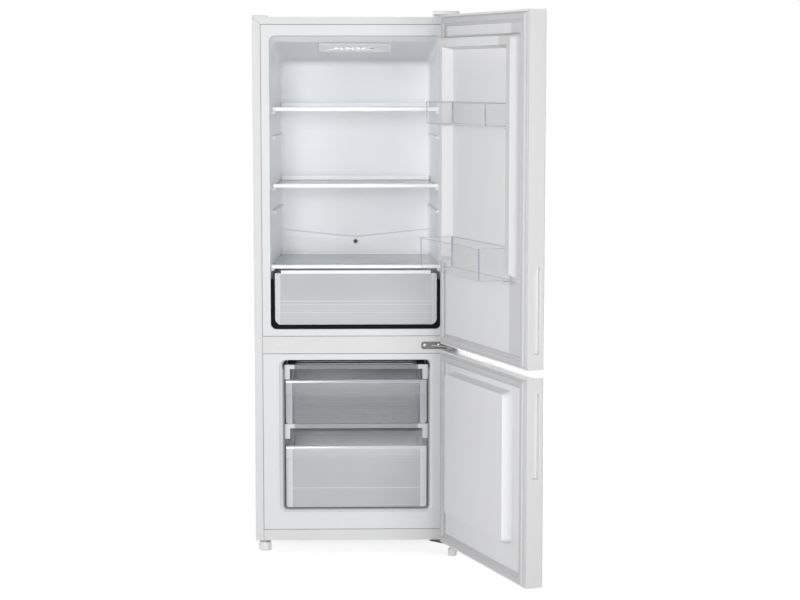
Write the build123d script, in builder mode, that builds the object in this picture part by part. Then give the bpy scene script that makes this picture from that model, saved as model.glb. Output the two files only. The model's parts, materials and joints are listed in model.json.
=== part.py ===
from build123d import *
import os
from math import atan2, cos, radians, sin, tan

# A free-standing bottom freezer refrigerator, doors open, in millimetres.
#
# Frame: the origin is the middle of the sole of the foot under the door hinges. The axis that both
# doors turn about stands on it. +X runs to the cabinet's right side, +Y to its back and +Z up.

os.makedirs("parts", exist_ok=True)

# ---------------------------------------------------------------- driving sizes: cabinet
cabinet_height = 1450.0  # floor to top panel
cabinet_width = 550.0
cabinet_depth = 470.0  # front flange to back panel
floor_gap = 35.0  # floor to the cabinet's underside
hinge_inset = 15.0  # hinge axis to the cabinet's right side
hinge_reach = 40.0  # hinge axis to the cabinet's front
sheet = 0.8  # painted steel
liner_wall = 2.0  # formed plastic, and the folded hem it meets
side_hem = 22.0  # steel seen on the front, at each side
top_hem = 19.0
seam = 0.8  # open line between two pieces of the front
touch = 0.3  # gap between pieces that rest on each other

# ---------------------------------------------------------------- driving sizes: compartments
fridge_side_frame = 45.0  # cabinet side to the fridge mouth
fridge_top_frame = 49.0  # cabinet top to the fridge mouth
fridge_floor_z = 615.0
fridge_back_wall = 65.0  # back panel to the fridge compartment
fridge_draft = 16.0  # how far each side wall closes in by the back
ceiling_front_run = 40.0  # the ceiling falls in three slopes
ceiling_front_drop = 16.0
ceiling_mid_run = 220.0
ceiling_mid_drop = 40.0
ceiling_back_drop = 66.0
ceiling_front_bend = 40.0
ceiling_mid_bend = 250.0
fridge_corner = 16.0
mullion_top_z = 596.0
mullion_low_z = 549.0
freezer_side_frame = 80.0
freezer_ceiling_z = 530.0
freezer_floor_z = 120.0
freezer_back_wall = 70.0
freezer_draft = 7.0
freezer_corner = 11.0
lip_depth = 12.0  # the freezer mouth flares open towards the front
lip_side = 14.0
lip_top = 2.0
lip_bottom = 7.0
lip_corner = 20.0
rail_top_z = 65.0
bay_height = 215.0  # floor to the ceiling of the compressor bay
bay_depth = 140.0
bay_wall = 46.0  # foam and liner in front of the bay
hump_rise = 35.0  # foam above the bay, at the hump's front edge
hump_slope = 32.0
hump_bend = 15.0

# ---------------------------------------------------------------- driving sizes: doors
door_thickness = 46.0
door_gap = 10.0  # door's inner face to the cabinet's front
door_open_angle = 110.0
upper_door_low_z = 580.0
upper_door_over = 4.0  # the upper door stands above the cabinet's top
lower_door_low_z = 38.0
lower_door_high_z = 563.0
door_edge_radius = 4.0
door_return = 11.0  # steel folded in behind each side
cap_plate = 2.0
cap_skirt = 12.0
gasket_width = 26.0
gasket_inset = 5.0
lining_inset = 44.0  # cabinet side to the foot of the door's ribs
rib_width = 37.0
rib_height = 28.0
rib_draft = 15.0  # degrees
rib_top_inset = 55.0  # door top to the foot of the top rib
rib_low_gap = 11.0  # crisper cover to the ribs' lower ends
rib_end_slant = 22.0
plateau_side = 3.0  # freezer mouth to the foot of the door's plateau
plateau_end = 12.0
plateau_height = 26.0
plateau_corner = 18.0
grip_width = 17.0
grip_height = 212.0
grip_depth = 14.0
grip_from_back = 16.5  # door's inner face to the grip
grip_end_offset = 40.0  # door's end to the grip
grip_wall = 1.5

# ---------------------------------------------------------------- driving sizes: hinges and feet
pin_radius = 4.0
pin_fit = 0.1
hinge_plate = 3.0
top_arm_lift = 5.5  # top hinge's arm above the cabinet's top
top_pin_length = 26.0
mid_pin_length = 14.0
cover_height = 14.0
collar_radius = 8.0
left_foot_radius = 17.0
left_foot_height = 24.0
left_foot_setback = 40.0
left_foot_inset = 24.0
hinge_foot_radius = 12.0
hinge_foot_height = 20.0
stem_radius = 4.0
roller_radius = 20.0
roller_width = 18.0
roller_inset = 45.0
roller_from_back = 32.0
roller_pin_radius = 3.0

# ---------------------------------------------------------------- driving sizes: fittings
glass = 4.0
shelf_setback = 75.0
shelf_trim_height = 11.0
shelf_trim_depth = 16.0
shelf_side_gap = 1.5
shelf_back_gap = 12.0
shelf_shift = 6.0  # both shelves stand this far above even spacing
ledge_reach = 9.0
ledge_height = 7.0
cover_low_z = 779.0
cover_trim_height = 9.5
cover_setback = 6.0
crisper_side_gap = 12.0  # fridge mouth to the drawer's front
crisper_setback = 7.0
crisper_front_thick = 3.0
crisper_back_gap = 98.0
crisper_under = 12.0  # fridge floor to the drawer
crisper_rim_drop = 13.0  # cover to the drawer's rim
crisper_radius = 16.0
crisper_wall = 2.0
seal_arm = 16.0  # seal's ends below the drawer's rim
control_width = 196.0
control_length = 122.0
control_setback = 60.0
control_thick = 7.0
light_pitch = 14.9
light_count = 6
light_radius = 2.5
light_run = 46.0  # front edge of the control panel to its lights
first_light_x = -52.0  # from the cabinet's middle
button_x = 45.5
button_radius = 4.5
button_travel = 1.5
drain_z = 820.0
drain_radius = 6.0
upper_bin_drop = 230.0  # top of the door's ribs to the upper bin's floor
upper_bin_height = 59.0
upper_bin_depth = 80.0
lower_bin_gap = 4.5  # crisper cover to the lower bin
lower_bin_height = 82.0
lower_bin_depth = 96.0
bin_wall = 2.2
bin_side_gap = 1.5
freezer_front_setback = 22.0
drawer_side_gap = 3.5
drawer_front = 3.0
drawer_wall = 2.0
basket_inset = 20.0
basket_rim_drop = 14.0  # drawer front's top to the basket's rim
drawer_draft = 2.5  # degrees
upper_grip_drop = 40.0
lower_grip_drop = 31.0
upper_drawer_high_z = 474.0
upper_drawer_back_gap = 25.0
lower_drawer_high_z = 292.0
lower_drawer_gap = 2.0
lower_drawer_back_gap = 14.0
evaporator_low_z = 341.0
evaporator_high_z = 504.0
evaporator_bar = 12.0
evaporator_tube = 4.0
block_width = 14.0
block_height = 28.0

# ---------------------------------------------------------------- driving sizes: machinery
condenser_tube_radius = 2.4
condenser_standoff = 16.0
condenser_low_z = 300.0
condenser_high_gap = 190.0  # cabinet top to the condenser
condenser_side_gap = 35.0
condenser_pitch = 50.0
wire_radius = 0.8
wire_pitch = 13.0
compressor_width = 190.0
compressor_room = 28.0  # bay depth that the compressor leaves free
compressor_height = 140.0
mount_height = 12.0
pipe_radius = 3.0

# ---------------------------------------------------------------- places worked out from the sizes
right_x = hinge_inset
left_x = right_x - cabinet_width
mid_x = (left_x + right_x) / 2
front_y = hinge_reach
back_y = front_y + cabinet_depth
half_width = cabinet_width / 2
fridge_half = half_width - fridge_side_frame
freezer_half = half_width - freezer_side_frame
fridge_mouth_z = cabinet_height - fridge_top_frame
fridge_back_y = back_y - fridge_back_wall
freezer_back_y = back_y - freezer_back_wall
fridge_depth = fridge_back_y - front_y
freezer_depth = freezer_back_y - front_y
face_back_y = front_y + liner_wall
lip_back_y = front_y + lip_depth
bay_front_y = back_y - bay_depth
hump_y = bay_front_y - bay_wall
compressor_depth = bay_depth - compressor_room
pan_z = floor_gap + liner_wall
hump_z = bay_height + hump_rise
door_back_y = front_y - door_gap
door_front_y = door_back_y - door_thickness
upper_door_high_z = cabinet_height + upper_door_over
cover_glass_z = cover_low_z + 2.0
cover_top_z = cover_low_z + cover_trim_height
shelf_pitch = (fridge_mouth_z - cover_low_z) / 3
middle_shelf_z = cover_low_z + shelf_pitch
upper_shelf_z = cover_low_z + 2 * shelf_pitch
crisper_half = fridge_half - crisper_side_gap
crisper_depth = fridge_depth - crisper_setback - crisper_back_gap
crisper_low_z = fridge_floor_z + crisper_under
crisper_rim_z = cover_low_z - crisper_rim_drop
upper_drawer_low_z = evaporator_low_z + evaporator_bar + touch
lower_bin_low_z = cover_top_z + lower_bin_gap
rib_low_z = cover_top_z + rib_low_gap
rib_high_z = upper_door_high_z - rib_top_inset
upper_bin_low_z = rib_high_z - upper_bin_drop
bin_half = half_width - lining_inset - rib_width


def wall_half(y):
    """Half the fridge compartment's width at depth y, between its drafted side walls."""
    return fridge_half - fridge_draft * (y - front_y) / fridge_depth


def block(x, y, z, mode=Mode.ADD):
    """Add a box to the part being built, given its lowest and highest x, y and z."""
    with Locations(((x[0] + x[1]) / 2, (y[0] + y[1]) / 2, (z[0] + z[1]) / 2)):
        Box(x[1] - x[0], y[1] - y[0], z[1] - z[0], mode=mode)


def rod(start, end, radius, mode=Mode.ADD):
    """Add a round bar between two points to the part being built."""
    with BuildSketch(Plane(start, z_dir=Vector(*end) - Vector(*start))) as section:
        Circle(radius)
    extrude(section.sketch, amount=(Vector(*end) - Vector(*start)).length, mode=mode)


def tube(points, bend, radius):
    """Add a bent tube to the part being built, along straight runs joined by arcs."""
    with BuildLine() as path:
        FilletPolyline(*points, radius=bend)
    with BuildSketch(Plane(path.line @ 0, z_dir=path.line % 0)) as section:
        Circle(radius)
    sweep(section.sketch, path=path.line)


def save(piece, name):
    """Label a finished piece and write it to its own file."""
    piece.part.label = name
    export_step(piece.part, f"parts/{name}.step")


def opened(piece):
    """Turn a door piece, built with its door closed, to the open door's place."""
    with BuildPart() as turned:
        add(piece.part, rotation=(0, 0, door_open_angle))
    return turned


def space(profile, bends, mouth_half, draft, depth, mouth_y, corner, grow):
    """The room inside a liner, grown on all sides but the mouth by the liner's wall."""
    half = mouth_half + grow
    low_z = min(z for _, z in profile) - grow
    high_z = max(z for _, z in profile) + grow
    back = front_y + depth
    slope = draft / depth
    with BuildPart() as room:
        with BuildSketch(Plane.YZ.offset(mid_x)) as side:
            with BuildLine():
                Polyline(*profile, close=True)
            make_face()
            for y, z, bend in bends:
                fillet(side.vertices().sort_by_distance((y, z, 0))[0], bend)
            if grow:
                offset(amount=grow, kind=Kind.INTERSECTION)
        extrude(amount=half, both=True)
        with BuildSketch(Plane.XY.offset(low_z)):
            with BuildLine():
                Polyline(
                    (mid_x - half, mouth_y),
                    (mid_x + half, mouth_y),
                    (mid_x + half - slope * (back + grow - mouth_y), back + grow),
                    (mid_x - half + slope * (back + grow - mouth_y), back + grow),
                    close=True,
                )
            make_face()
        extrude(amount=high_z - low_z, mode=Mode.INTERSECT)
        walls = room.faces().filter_by(lambda face: abs(face.normal_at().X) > 0.9)
        rims = walls.edges().filter_by(lambda edge: edge.center().Y > mouth_y + 1)
        fillet(rims, corner + grow)
    return room.part


def fridge_space(grow=0.0):
    """The fridge compartment, with its ceiling falling to the back."""
    profile = [
        (front_y, fridge_floor_z),
        (fridge_back_y, fridge_floor_z),
        (fridge_back_y, fridge_mouth_z - ceiling_back_drop),
        (front_y + ceiling_mid_run, fridge_mouth_z - ceiling_mid_drop),
        (front_y + ceiling_front_run, fridge_mouth_z - ceiling_front_drop),
        (front_y, fridge_mouth_z),
    ]
    bends = [
        (*profile[1], fridge_corner),
        (*profile[2], fridge_corner),
        (*profile[3], ceiling_mid_bend),
        (*profile[4], ceiling_front_bend),
    ]
    return space(
        profile, bends, fridge_half, fridge_draft, fridge_depth, front_y, fridge_corner, grow
    )


def freezer_space(grow=0.0):
    """The freezer compartment behind its flared lip, with a hump over the compressor bay."""
    profile = [
        (front_y, freezer_floor_z),
        (hump_y, freezer_floor_z),
        (hump_y, hump_z),
        (hump_y + hump_slope, hump_z + hump_slope),
        (freezer_back_y, hump_z + hump_slope),
        (freezer_back_y, freezer_ceiling_z),
        (front_y, freezer_ceiling_z),
    ]
    bends = [(*point, hump_bend) for point in profile[1:6]]
    return space(
        profile, bends, freezer_half, freezer_draft, freezer_depth, front_y, freezer_corner, grow
    )


def freezer_lip(grow=0.0):
    """The flare of the freezer mouth, which ends just inside the straight walls."""
    inside = grow - 0.5
    high_z = freezer_ceiling_z + lip_top + grow
    low_z = freezer_floor_z - lip_bottom - grow
    middle_z = (freezer_ceiling_z + freezer_floor_z) / 2
    front = Plane((mid_x, front_y, (high_z + low_z) / 2), x_dir=(1, 0, 0), z_dir=(0, -1, 0))
    back = Plane((mid_x, lip_back_y, middle_z), x_dir=(1, 0, 0), z_dir=(0, -1, 0))
    with BuildPart() as flare:
        with BuildSketch(front):
            RectangleRounded(
                2 * (freezer_half + lip_side + grow), high_z - low_z, lip_corner + grow
            )
        with BuildSketch(back):
            RectangleRounded(
                2 * (freezer_half + inside),
                freezer_ceiling_z - freezer_floor_z + 2 * inside,
                freezer_corner + inside,
            )
        loft()
    return flare.part


# ---------------------------------------------------------------- the drain tube, led down inside
# the foam from the fridge's back wall to the tray over the compressor
drain_tube_y = back_y - 32.0
drain_wall = 1.5
drain_end_z = bay_height - 6.0
drain_bend = 18.0
drain_route = [
    (mid_x, fridge_back_y + liner_wall, drain_z),
    (mid_x, drain_tube_y, drain_z),
    (mid_x, drain_tube_y, drain_end_z),
]
with BuildPart() as drain_bore:
    tube(drain_route, drain_bend, drain_radius)
with BuildPart() as drain_outside:
    tube(drain_route, drain_bend, drain_radius + drain_wall)
with BuildPart() as drain_tube:
    add(drain_outside.part)
    add(drain_bore.part, mode=Mode.SUBTRACT)
save(drain_tube, "drain_tube")

# ---------------------------------------------------------------- screws of the three hinges
screw_radius = 2.5
screw_head_radius = 4.8
screw_head = 3.0
screw_length = 16.0
mid_hinge_z = (upper_door_low_z + lower_door_high_z) / 2
bottom_plate = 4.0
top_screws = [(-40.0, front_y + 22), (-12.0, front_y + 22), (-26.0, front_y + 52)]
bottom_screws = [(-46.0, front_y + 44), (-14.0, front_y + 44)]
mid_screws = [(-74.5, mid_hinge_z), (-36.5, mid_hinge_z)]
with BuildPart() as hinge_screws:
    for x, y in top_screws:
        z = cabinet_height + hinge_plate
        rod((x, y, z - screw_length), (x, y, z), screw_radius)
        rod((x, y, z), (x, y, z + screw_head), screw_head_radius)
    for x, y in bottom_screws:
        z = floor_gap - bottom_plate
        rod((x, y, z), (x, y, z + screw_length), screw_radius)
        rod((x, y, z - screw_head), (x, y, z), screw_head_radius)
    for x, z in mid_screws:
        y = front_y - hinge_plate
        rod((x, y, z), (x, y + screw_length, z), screw_radius)
        rod((x, y - screw_head, z), (x, y, z), screw_head_radius)
save(hinge_screws, "hinge_screws")

# ---------------------------------------------------------------- cold plate behind the fridge wall
plate_thickness = 1.5
plate_margin = 45.0
plate_low_z = drain_z + 40.0
plate_high_gap = 95.0  # top of the fridge's back wall to the plate
channel_count = 7
channel_inset = 15.0
channel_half = 5.0
channel_rise = 2.5
plate_height = fridge_mouth_z - ceiling_back_drop - plate_high_gap - plate_low_z
with BuildPart() as fridge_evaporator:
    plate_y = fridge_back_y + liner_wall
    block(
        (mid_x - fridge_half + plate_margin, mid_x + fridge_half - plate_margin),
        (plate_y, plate_y + plate_thickness),
        (plate_low_z, plate_low_z + plate_height),
    )
    channel_pitch = plate_height / (channel_count + 1)
    for n in range(channel_count):
        z = plate_low_z + (n + 1) * channel_pitch
        block(
            (
                mid_x - fridge_half + plate_margin + channel_inset,
                mid_x + fridge_half - plate_margin - channel_inset,
            ),
            (plate_y + plate_thickness, plate_y + plate_thickness + channel_rise),
            (z - channel_half, z + channel_half),
        )
save(fridge_evaporator, "fridge_evaporator")

# ---------------------------------------------------------------- fridge liner
gutter_rise = 18.0
gutter_half = fridge_half - fridge_draft - 24.0
gutter_depth = 6.0
gutter_wall = 4.0
sump_half = 9.0
sump_high = 6.0
sump_low = 8.0
cover_ledge_setback = 18.0
ledge_setback = shelf_setback + 6.0
ledge_back_gap = 30.0
lower_spare_level = 0.3  # share of the shelf pitch that a spare level lies below its shelf
upper_spare_level = 0.33
runner_inset = 40.0
runner_half = 5.0
runner_setback = 25.0
with BuildPart() as fridge_liner:
    add(fridge_space(liner_wall))
    block(
        (mid_x - half_width + side_hem + seam, mid_x + half_width - side_hem - seam),
        (front_y, face_back_y),
        (mullion_top_z + seam / 2, cabinet_height - top_hem - seam),
    )
    add(fridge_space(), mode=Mode.SUBTRACT)
    # the shelves lie between pairs of ledges formed in the side walls, with a spare level below each
    ledge_levels = [
        cover_low_z - touch,
        middle_shelf_z + shelf_shift - shelf_pitch * lower_spare_level,
        middle_shelf_z + shelf_shift - touch,
        upper_shelf_z + shelf_shift - shelf_pitch * upper_spare_level,
        upper_shelf_z + shelf_shift - touch,
    ]
    for level in ledge_levels:
        on_cover = level == ledge_levels[0]
        ledge_front_y = front_y + (cover_ledge_setback if on_cover else ledge_setback)
        ledge_back_y = fridge_back_y - ledge_back_gap
        with BuildSketch(Plane.XY.offset(level - ledge_height)):
            for side in (-1, 1):
                with BuildLine():
                    Polyline(
                        (mid_x + side * (wall_half(ledge_front_y) + 1), ledge_front_y),
                        (mid_x + side * (wall_half(ledge_front_y) - ledge_reach),
                         ledge_front_y + ledge_reach),
                        (mid_x + side * (wall_half(ledge_back_y) - ledge_reach), ledge_back_y),
                        (mid_x + side * (wall_half(ledge_back_y) + 1), ledge_back_y),
                        close=True,
                    )
                make_face()
        extrude(amount=ledge_height)
    # two runners on the floor carry the crisper drawer
    for side in (-1, 1):
        runner_x = mid_x + side * (crisper_half - runner_inset)
        block(
            (runner_x - runner_half, runner_x + runner_half),
            (front_y + runner_setback, front_y + crisper_depth),
            (fridge_floor_z - 1, crisper_low_z - touch),
        )
    # a shallow gutter on the back wall leads the thaw water to the drain
    with BuildSketch(Plane((0, fridge_back_y + 1, 0), x_dir=(1, 0, 0), z_dir=(0, -1, 0))):
        with BuildLine():
            Polyline(
                (mid_x - gutter_half, drain_z + gutter_rise),
                (mid_x - sump_half, drain_z + sump_high),
                (mid_x - sump_half, drain_z - sump_low),
                (mid_x + sump_half, drain_z - sump_low),
                (mid_x + sump_half, drain_z + sump_high),
                (mid_x + gutter_half, drain_z + gutter_rise),
                (mid_x + gutter_half, drain_z + gutter_rise - gutter_wall),
                (mid_x + sump_half + 3, drain_z - sump_low - gutter_wall),
                (mid_x - sump_half - 3, drain_z - sump_low - gutter_wall),
                (mid_x - gutter_half, drain_z + gutter_rise - gutter_wall),
                close=True,
            )
        make_face()
    extrude(amount=gutter_depth + 1)
    rod(
        (mid_x, fridge_back_y - 20, drain_z), (mid_x, fridge_back_y + 10, drain_z),
        drain_radius, mode=Mode.SUBTRACT,
    )
save(fridge_liner, "fridge_liner")

# ---------------------------------------------------------------- freezer liner
with BuildPart() as freezer_liner:
    add(freezer_space(liner_wall))
    add(freezer_lip(liner_wall))
    block(
        (mid_x - half_width + side_hem + seam, mid_x + half_width - side_hem - seam),
        (front_y, face_back_y),
        (rail_top_z + seam / 2, mullion_low_z - seam / 2),
    )
    add(freezer_space(), mode=Mode.SUBTRACT)
    add(freezer_lip(), mode=Mode.SUBTRACT)
save(freezer_liner, "freezer_liner")

# ---------------------------------------------------------------- steel outer wrap: both sides and
# the top, bent from one sheet, with a folded hem round the front
with BuildPart() as outer_wrap:
    wrap_x = (left_x, right_x)
    wrap_z = (floor_gap, cabinet_height)
    block(wrap_x, (front_y, back_y), wrap_z)
    block(
        (left_x + sheet, right_x - sheet), (face_back_y, back_y),
        (floor_gap - 1, cabinet_height - sheet), mode=Mode.SUBTRACT,
    )
    block(
        (left_x + side_hem, right_x - side_hem), (front_y - 1, face_back_y + 1),
        (floor_gap - 1, cabinet_height - top_hem), mode=Mode.SUBTRACT,
    )
    add(hinge_screws.part, mode=Mode.SUBTRACT)
save(outer_wrap, "outer_wrap")

# ---------------------------------------------------------------- strip between the compartments
with BuildPart() as mullion_trim:
    block(
        (mid_x - half_width + side_hem + seam, mid_x + half_width - side_hem - seam),
        (front_y, face_back_y),
        (mullion_low_z + seam / 2, mullion_top_z - seam / 2),
    )
    add(hinge_screws.part, mode=Mode.SUBTRACT)
save(mullion_trim, "mullion_trim")

# ---------------------------------------------------------------- front base rail, which carries
# the left foot and the bottom hinge
rail_depth = 72.0
foot_x = left_x + left_foot_inset
foot_y = front_y + left_foot_setback
with BuildPart() as front_base_rail:
    block(
        (left_x + side_hem + seam, right_x - side_hem - seam),
        (front_y, face_back_y),
        (floor_gap, rail_top_z - seam / 2),
    )
    block(
        (left_x + sheet, right_x - sheet), (face_back_y, front_y + rail_depth),
        (floor_gap, floor_gap + liner_wall),
    )
    with Locations((foot_x, foot_y, floor_gap)):
        Cylinder(stem_radius + pin_fit, 3 * liner_wall, mode=Mode.SUBTRACT)
    add(hinge_screws.part, mode=Mode.SUBTRACT)
save(front_base_rail, "front_base_rail")

# ---------------------------------------------------------------- back panel
with BuildPart() as rear_panel:
    block(
        (left_x + sheet, right_x - sheet), (back_y - sheet, back_y),
        (bay_height + sheet, cabinet_height - sheet),
    )
save(rear_panel, "rear_panel")

# ---------------------------------------------------------------- freezer evaporator: two shelves
# of bent tube, carried by plastic frames
frame_front_y = front_y + freezer_front_setback - 4.0
frame_back_y = freezer_back_y - 24.0
rail_half = freezer_half - 0.7
tube_runs = 8
tube_x = freezer_half - 26.0
tube_end_gap = 20.0
front_bar_depth = 6.0
block_depth = 18.0
with BuildPart() as freezer_evaporator:
    for level in (evaporator_low_z, evaporator_high_z):
        tube_z = level + evaporator_bar / 2
        run_pitch = (frame_back_y - frame_front_y - 2 * tube_end_gap) / (tube_runs - 1)
        route = []
        for n in range(tube_runs):
            y = frame_front_y + tube_end_gap + n * run_pitch
            ends = [(mid_x - tube_x, y, tube_z), (mid_x + tube_x, y, tube_z)]
            route += ends if n % 2 == 0 else ends[::-1]
        tube(route, run_pitch * 0.45, evaporator_tube)
save(freezer_evaporator, "freezer_evaporator")

with BuildPart() as evaporator_frames:
    for level in (evaporator_low_z, evaporator_high_z):
        block(
            (mid_x - rail_half, mid_x + rail_half),
            (frame_front_y, frame_front_y + front_bar_depth),
            (level, level + evaporator_bar),
        )
        for side in (-1, 1):
            outer_x = mid_x + side * rail_half
            inner_x = mid_x + side * (rail_half - block_width)
            across = (min(outer_x, inner_x), max(outer_x, inner_x))
            block(
                across, (frame_front_y, frame_front_y + block_depth),
                (level - block_height, level + evaporator_bar),
            )
            rail_inner_x = mid_x + side * (tube_x - 2)
            back_outer_x = mid_x + side * (rail_half - freezer_draft)
            rail_across = (min(back_outer_x, rail_inner_x), max(back_outer_x, rail_inner_x))
            block(
                rail_across, (frame_front_y, frame_back_y), (level, level + evaporator_bar)
            )
    add(freezer_evaporator.part, mode=Mode.SUBTRACT)
save(evaporator_frames, "evaporator_frames")


# ---------------------------------------------------------------- trays: drawers and bins
def tray(x, y, z, wall, corner, draft):
    """An open tray that narrows to its floor, as its outside and the hollow in it."""
    with BuildPart() as outer:
        with BuildSketch(Plane.XY.offset(z[1])) as top:
            with Locations(((x[0] + x[1]) / 2, (y[0] + y[1]) / 2)):
                RectangleRounded(x[1] - x[0], y[1] - y[0], corner)
        extrude(top.sketch, amount=z[1] - z[0], dir=(0, 0, -1), taper=draft)
        fillet(outer.faces().sort_by(Axis.Z)[0].edges(), wall * 1.5)
    with BuildPart() as hollow:
        with BuildSketch(Plane.XY.offset(z[1])) as top:
            with Locations(((x[0] + x[1]) / 2, (y[0] + y[1]) / 2)):
                RectangleRounded(x[1] - x[0] - 2 * wall, y[1] - y[0] - 2 * wall, corner - wall)
        extrude(top.sketch, amount=z[1] - z[0] - wall, dir=(0, 0, -1), taper=draft)
    return outer.part, hollow.part


# ---------------------------------------------------------------- crisper drawer: a front with a
# pull, clipped on a tub
crisper_front_y = front_y + crisper_setback
crisper_body_half = crisper_half - 9.0
crisper_corner = 10.0
crisper_draft = 1.0  # degrees
pull_inset = 16.0
pull_depth = 18.0
pull_height = 8.0
rim_out = 3.0
rim_in = 4.0
rim_thick = 3.0
rim_end_gap = 12.0
with BuildPart() as crisper_front:
    with BuildSketch(Plane((mid_x, crisper_front_y, 0), x_dir=(1, 0, 0), z_dir=(0, -1, 0))) as face:
        with Locations((0, (crisper_low_z + crisper_rim_z) / 2)):
            Rectangle(2 * crisper_half, crisper_rim_z - crisper_low_z)
        fillet(face.vertices().group_by(Axis.Y)[0], crisper_radius)
    extrude(amount=-crisper_front_thick)
    block(
        (mid_x - crisper_half + pull_inset, mid_x + crisper_half - pull_inset),
        (crisper_front_y, crisper_front_y + pull_depth),
        (crisper_rim_z, crisper_rim_z + pull_height),
    )
save(crisper_front, "crisper_front")

tub_front_y = crisper_front_y + crisper_front_thick + touch
tub_rim_z = crisper_rim_z - touch
with BuildPart() as crisper_tub:
    body, hollow = tray(
        (mid_x - crisper_body_half, mid_x + crisper_body_half),
        (tub_front_y, crisper_front_y + crisper_depth),
        (crisper_low_z, tub_rim_z),
        crisper_wall, crisper_corner, crisper_draft,
    )
    add(body)
    # a rim along each side
    for side in (-1, 1):
        edge = sorted(
            (mid_x + side * (crisper_body_half - rim_in), mid_x + side * (crisper_body_half + rim_out))
        )
        block(
            edge, (tub_front_y, crisper_front_y + crisper_depth - rim_end_gap),
            (tub_rim_z - rim_thick, tub_rim_z),
        )
    add(hollow, mode=Mode.SUBTRACT)
save(crisper_tub, "crisper_tub")

# ---------------------------------------------------------------- soft black seal round the crisper
# front, fixed to the liner
seal_y = (crisper_front_y + 1, crisper_front_y + 9)
seal_gap = 0.8  # seal to the drawer's front
seal_set = 0.2  # seal to the liner that it is stuck to
seal_half = wall_half(seal_y[1]) - seal_set
seal_low_z = fridge_floor_z + seal_set
seal_high_z = crisper_rim_z - seal_arm
with BuildPart() as crisper_seal:
    with BuildSketch(Plane((mid_x, seal_y[0], 0), x_dir=(1, 0, 0), z_dir=(0, -1, 0))) as band:
        with Locations((0, (seal_low_z + seal_high_z) / 2)):
            Rectangle(2 * seal_half, seal_high_z - seal_low_z)
        fillet(band.vertices().group_by(Axis.Y)[0], fridge_corner)
        with Locations((0, (crisper_low_z + crisper_rim_z) / 2)):
            Rectangle(
                2 * (crisper_half + seal_gap), crisper_rim_z - crisper_low_z + seal_gap,
                mode=Mode.SUBTRACT,
            )
        inner = band.vertices().filter_by(
            lambda v: abs(abs(v.X) - crisper_half - seal_gap) < 0.1 and v.Y < crisper_low_z + 5
        )
        fillet(inner, crisper_radius)
    extrude(amount=-(seal_y[1] - seal_y[0]))
save(crisper_seal, "crisper_seal")

# ---------------------------------------------------------------- glass cover of the crisper
cover_front_y = front_y + cover_setback
cover_back_y = fridge_back_y - fridge_corner - 2
cover_back_trim = 12.0
with BuildPart() as crisper_cover_glass:
    with BuildSketch(Plane.XY.offset(cover_glass_z)):
        with BuildLine():
            glass_y = (cover_front_y + glass, cover_back_y - glass)
            Polyline(
                (mid_x - wall_half(glass_y[0]) + shelf_side_gap, glass_y[0]),
                (mid_x + wall_half(glass_y[0]) - shelf_side_gap, glass_y[0]),
                (mid_x + wall_half(glass_y[1]) - shelf_side_gap, glass_y[1]),
                (mid_x - wall_half(glass_y[1]) + shelf_side_gap, glass_y[1]),
                close=True,
            )
        make_face()
    extrude(amount=glass)
save(crisper_cover_glass, "crisper_cover_glass")

with BuildPart() as crisper_cover_trims:
    trim_half = wall_half(cover_front_y + shelf_trim_depth) - shelf_side_gap
    block(
        (mid_x - trim_half, mid_x + trim_half),
        (cover_front_y, cover_front_y + shelf_trim_depth),
        (cover_low_z, cover_top_z),
    )
    back_half = wall_half(cover_back_y) - shelf_side_gap
    block(
        (mid_x - back_half, mid_x + back_half), (cover_back_y - cover_back_trim, cover_back_y),
        (cover_low_z, cover_top_z),
    )
    fillet(crisper_cover_trims.edges().filter_by(Axis.X).group_by(Axis.Y)[0], 2.0)
    add(crisper_cover_glass.part, mode=Mode.SUBTRACT)

# ---------------------------------------------------------------- two glass shelves with trims;
# the crisper's cover has a third pair of these trims
shelf_front_y = front_y + shelf_setback
shelf_back_y = fridge_back_y - shelf_back_gap
shelf_levels = [middle_shelf_z + shelf_shift, upper_shelf_z + shelf_shift]
shelf_back_trim = 14.0
shelf_back_stop = 8.0  # rear trim above the front trim
with BuildPart() as shelf_glass:
    for level in shelf_levels:
        glass_y = (shelf_front_y + glass + 1, shelf_back_y - glass)
        with BuildSketch(Plane.XY.offset(level + 3)):
            with BuildLine():
                Polyline(
                    (mid_x - wall_half(glass_y[0]) + shelf_side_gap, glass_y[0]),
                    (mid_x + wall_half(glass_y[0]) - shelf_side_gap, glass_y[0]),
                    (mid_x + wall_half(glass_y[1]) - shelf_side_gap, glass_y[1]),
                    (mid_x - wall_half(glass_y[1]) + shelf_side_gap, glass_y[1]),
                    close=True,
                )
            make_face()
        extrude(amount=glass)
save(shelf_glass, "shelf_glass")

with BuildPart() as shelf_trims:
    for level in shelf_levels:
        trim_half = wall_half(shelf_front_y + shelf_trim_depth) - shelf_side_gap
        block(
            (mid_x - trim_half, mid_x + trim_half),
            (shelf_front_y, shelf_front_y + shelf_trim_depth),
            (level, level + shelf_trim_height),
        )
        back_half = wall_half(shelf_back_y) - shelf_side_gap - 2
        block(
            (mid_x - back_half, mid_x + back_half), (shelf_back_y - shelf_back_trim, shelf_back_y),
            (level, level + shelf_trim_height + shelf_back_stop),
        )
    fillet(shelf_trims.edges().filter_by(Axis.X).group_by(Axis.Y)[0], 2.5)
    add(shelf_glass.part, mode=Mode.SUBTRACT)
    add(crisper_cover_trims.part)
save(shelf_trims, "shelf_trims")

# ---------------------------------------------------------------- control panel under the ceiling
slope_rise = ceiling_mid_drop - ceiling_front_drop
slope_run = ceiling_mid_run - ceiling_front_run
slope = atan2(slope_rise, slope_run)
panel_z = fridge_mouth_z - ceiling_front_drop - (control_setback - ceiling_front_run) * (
    slope_rise / slope_run
)
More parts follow.
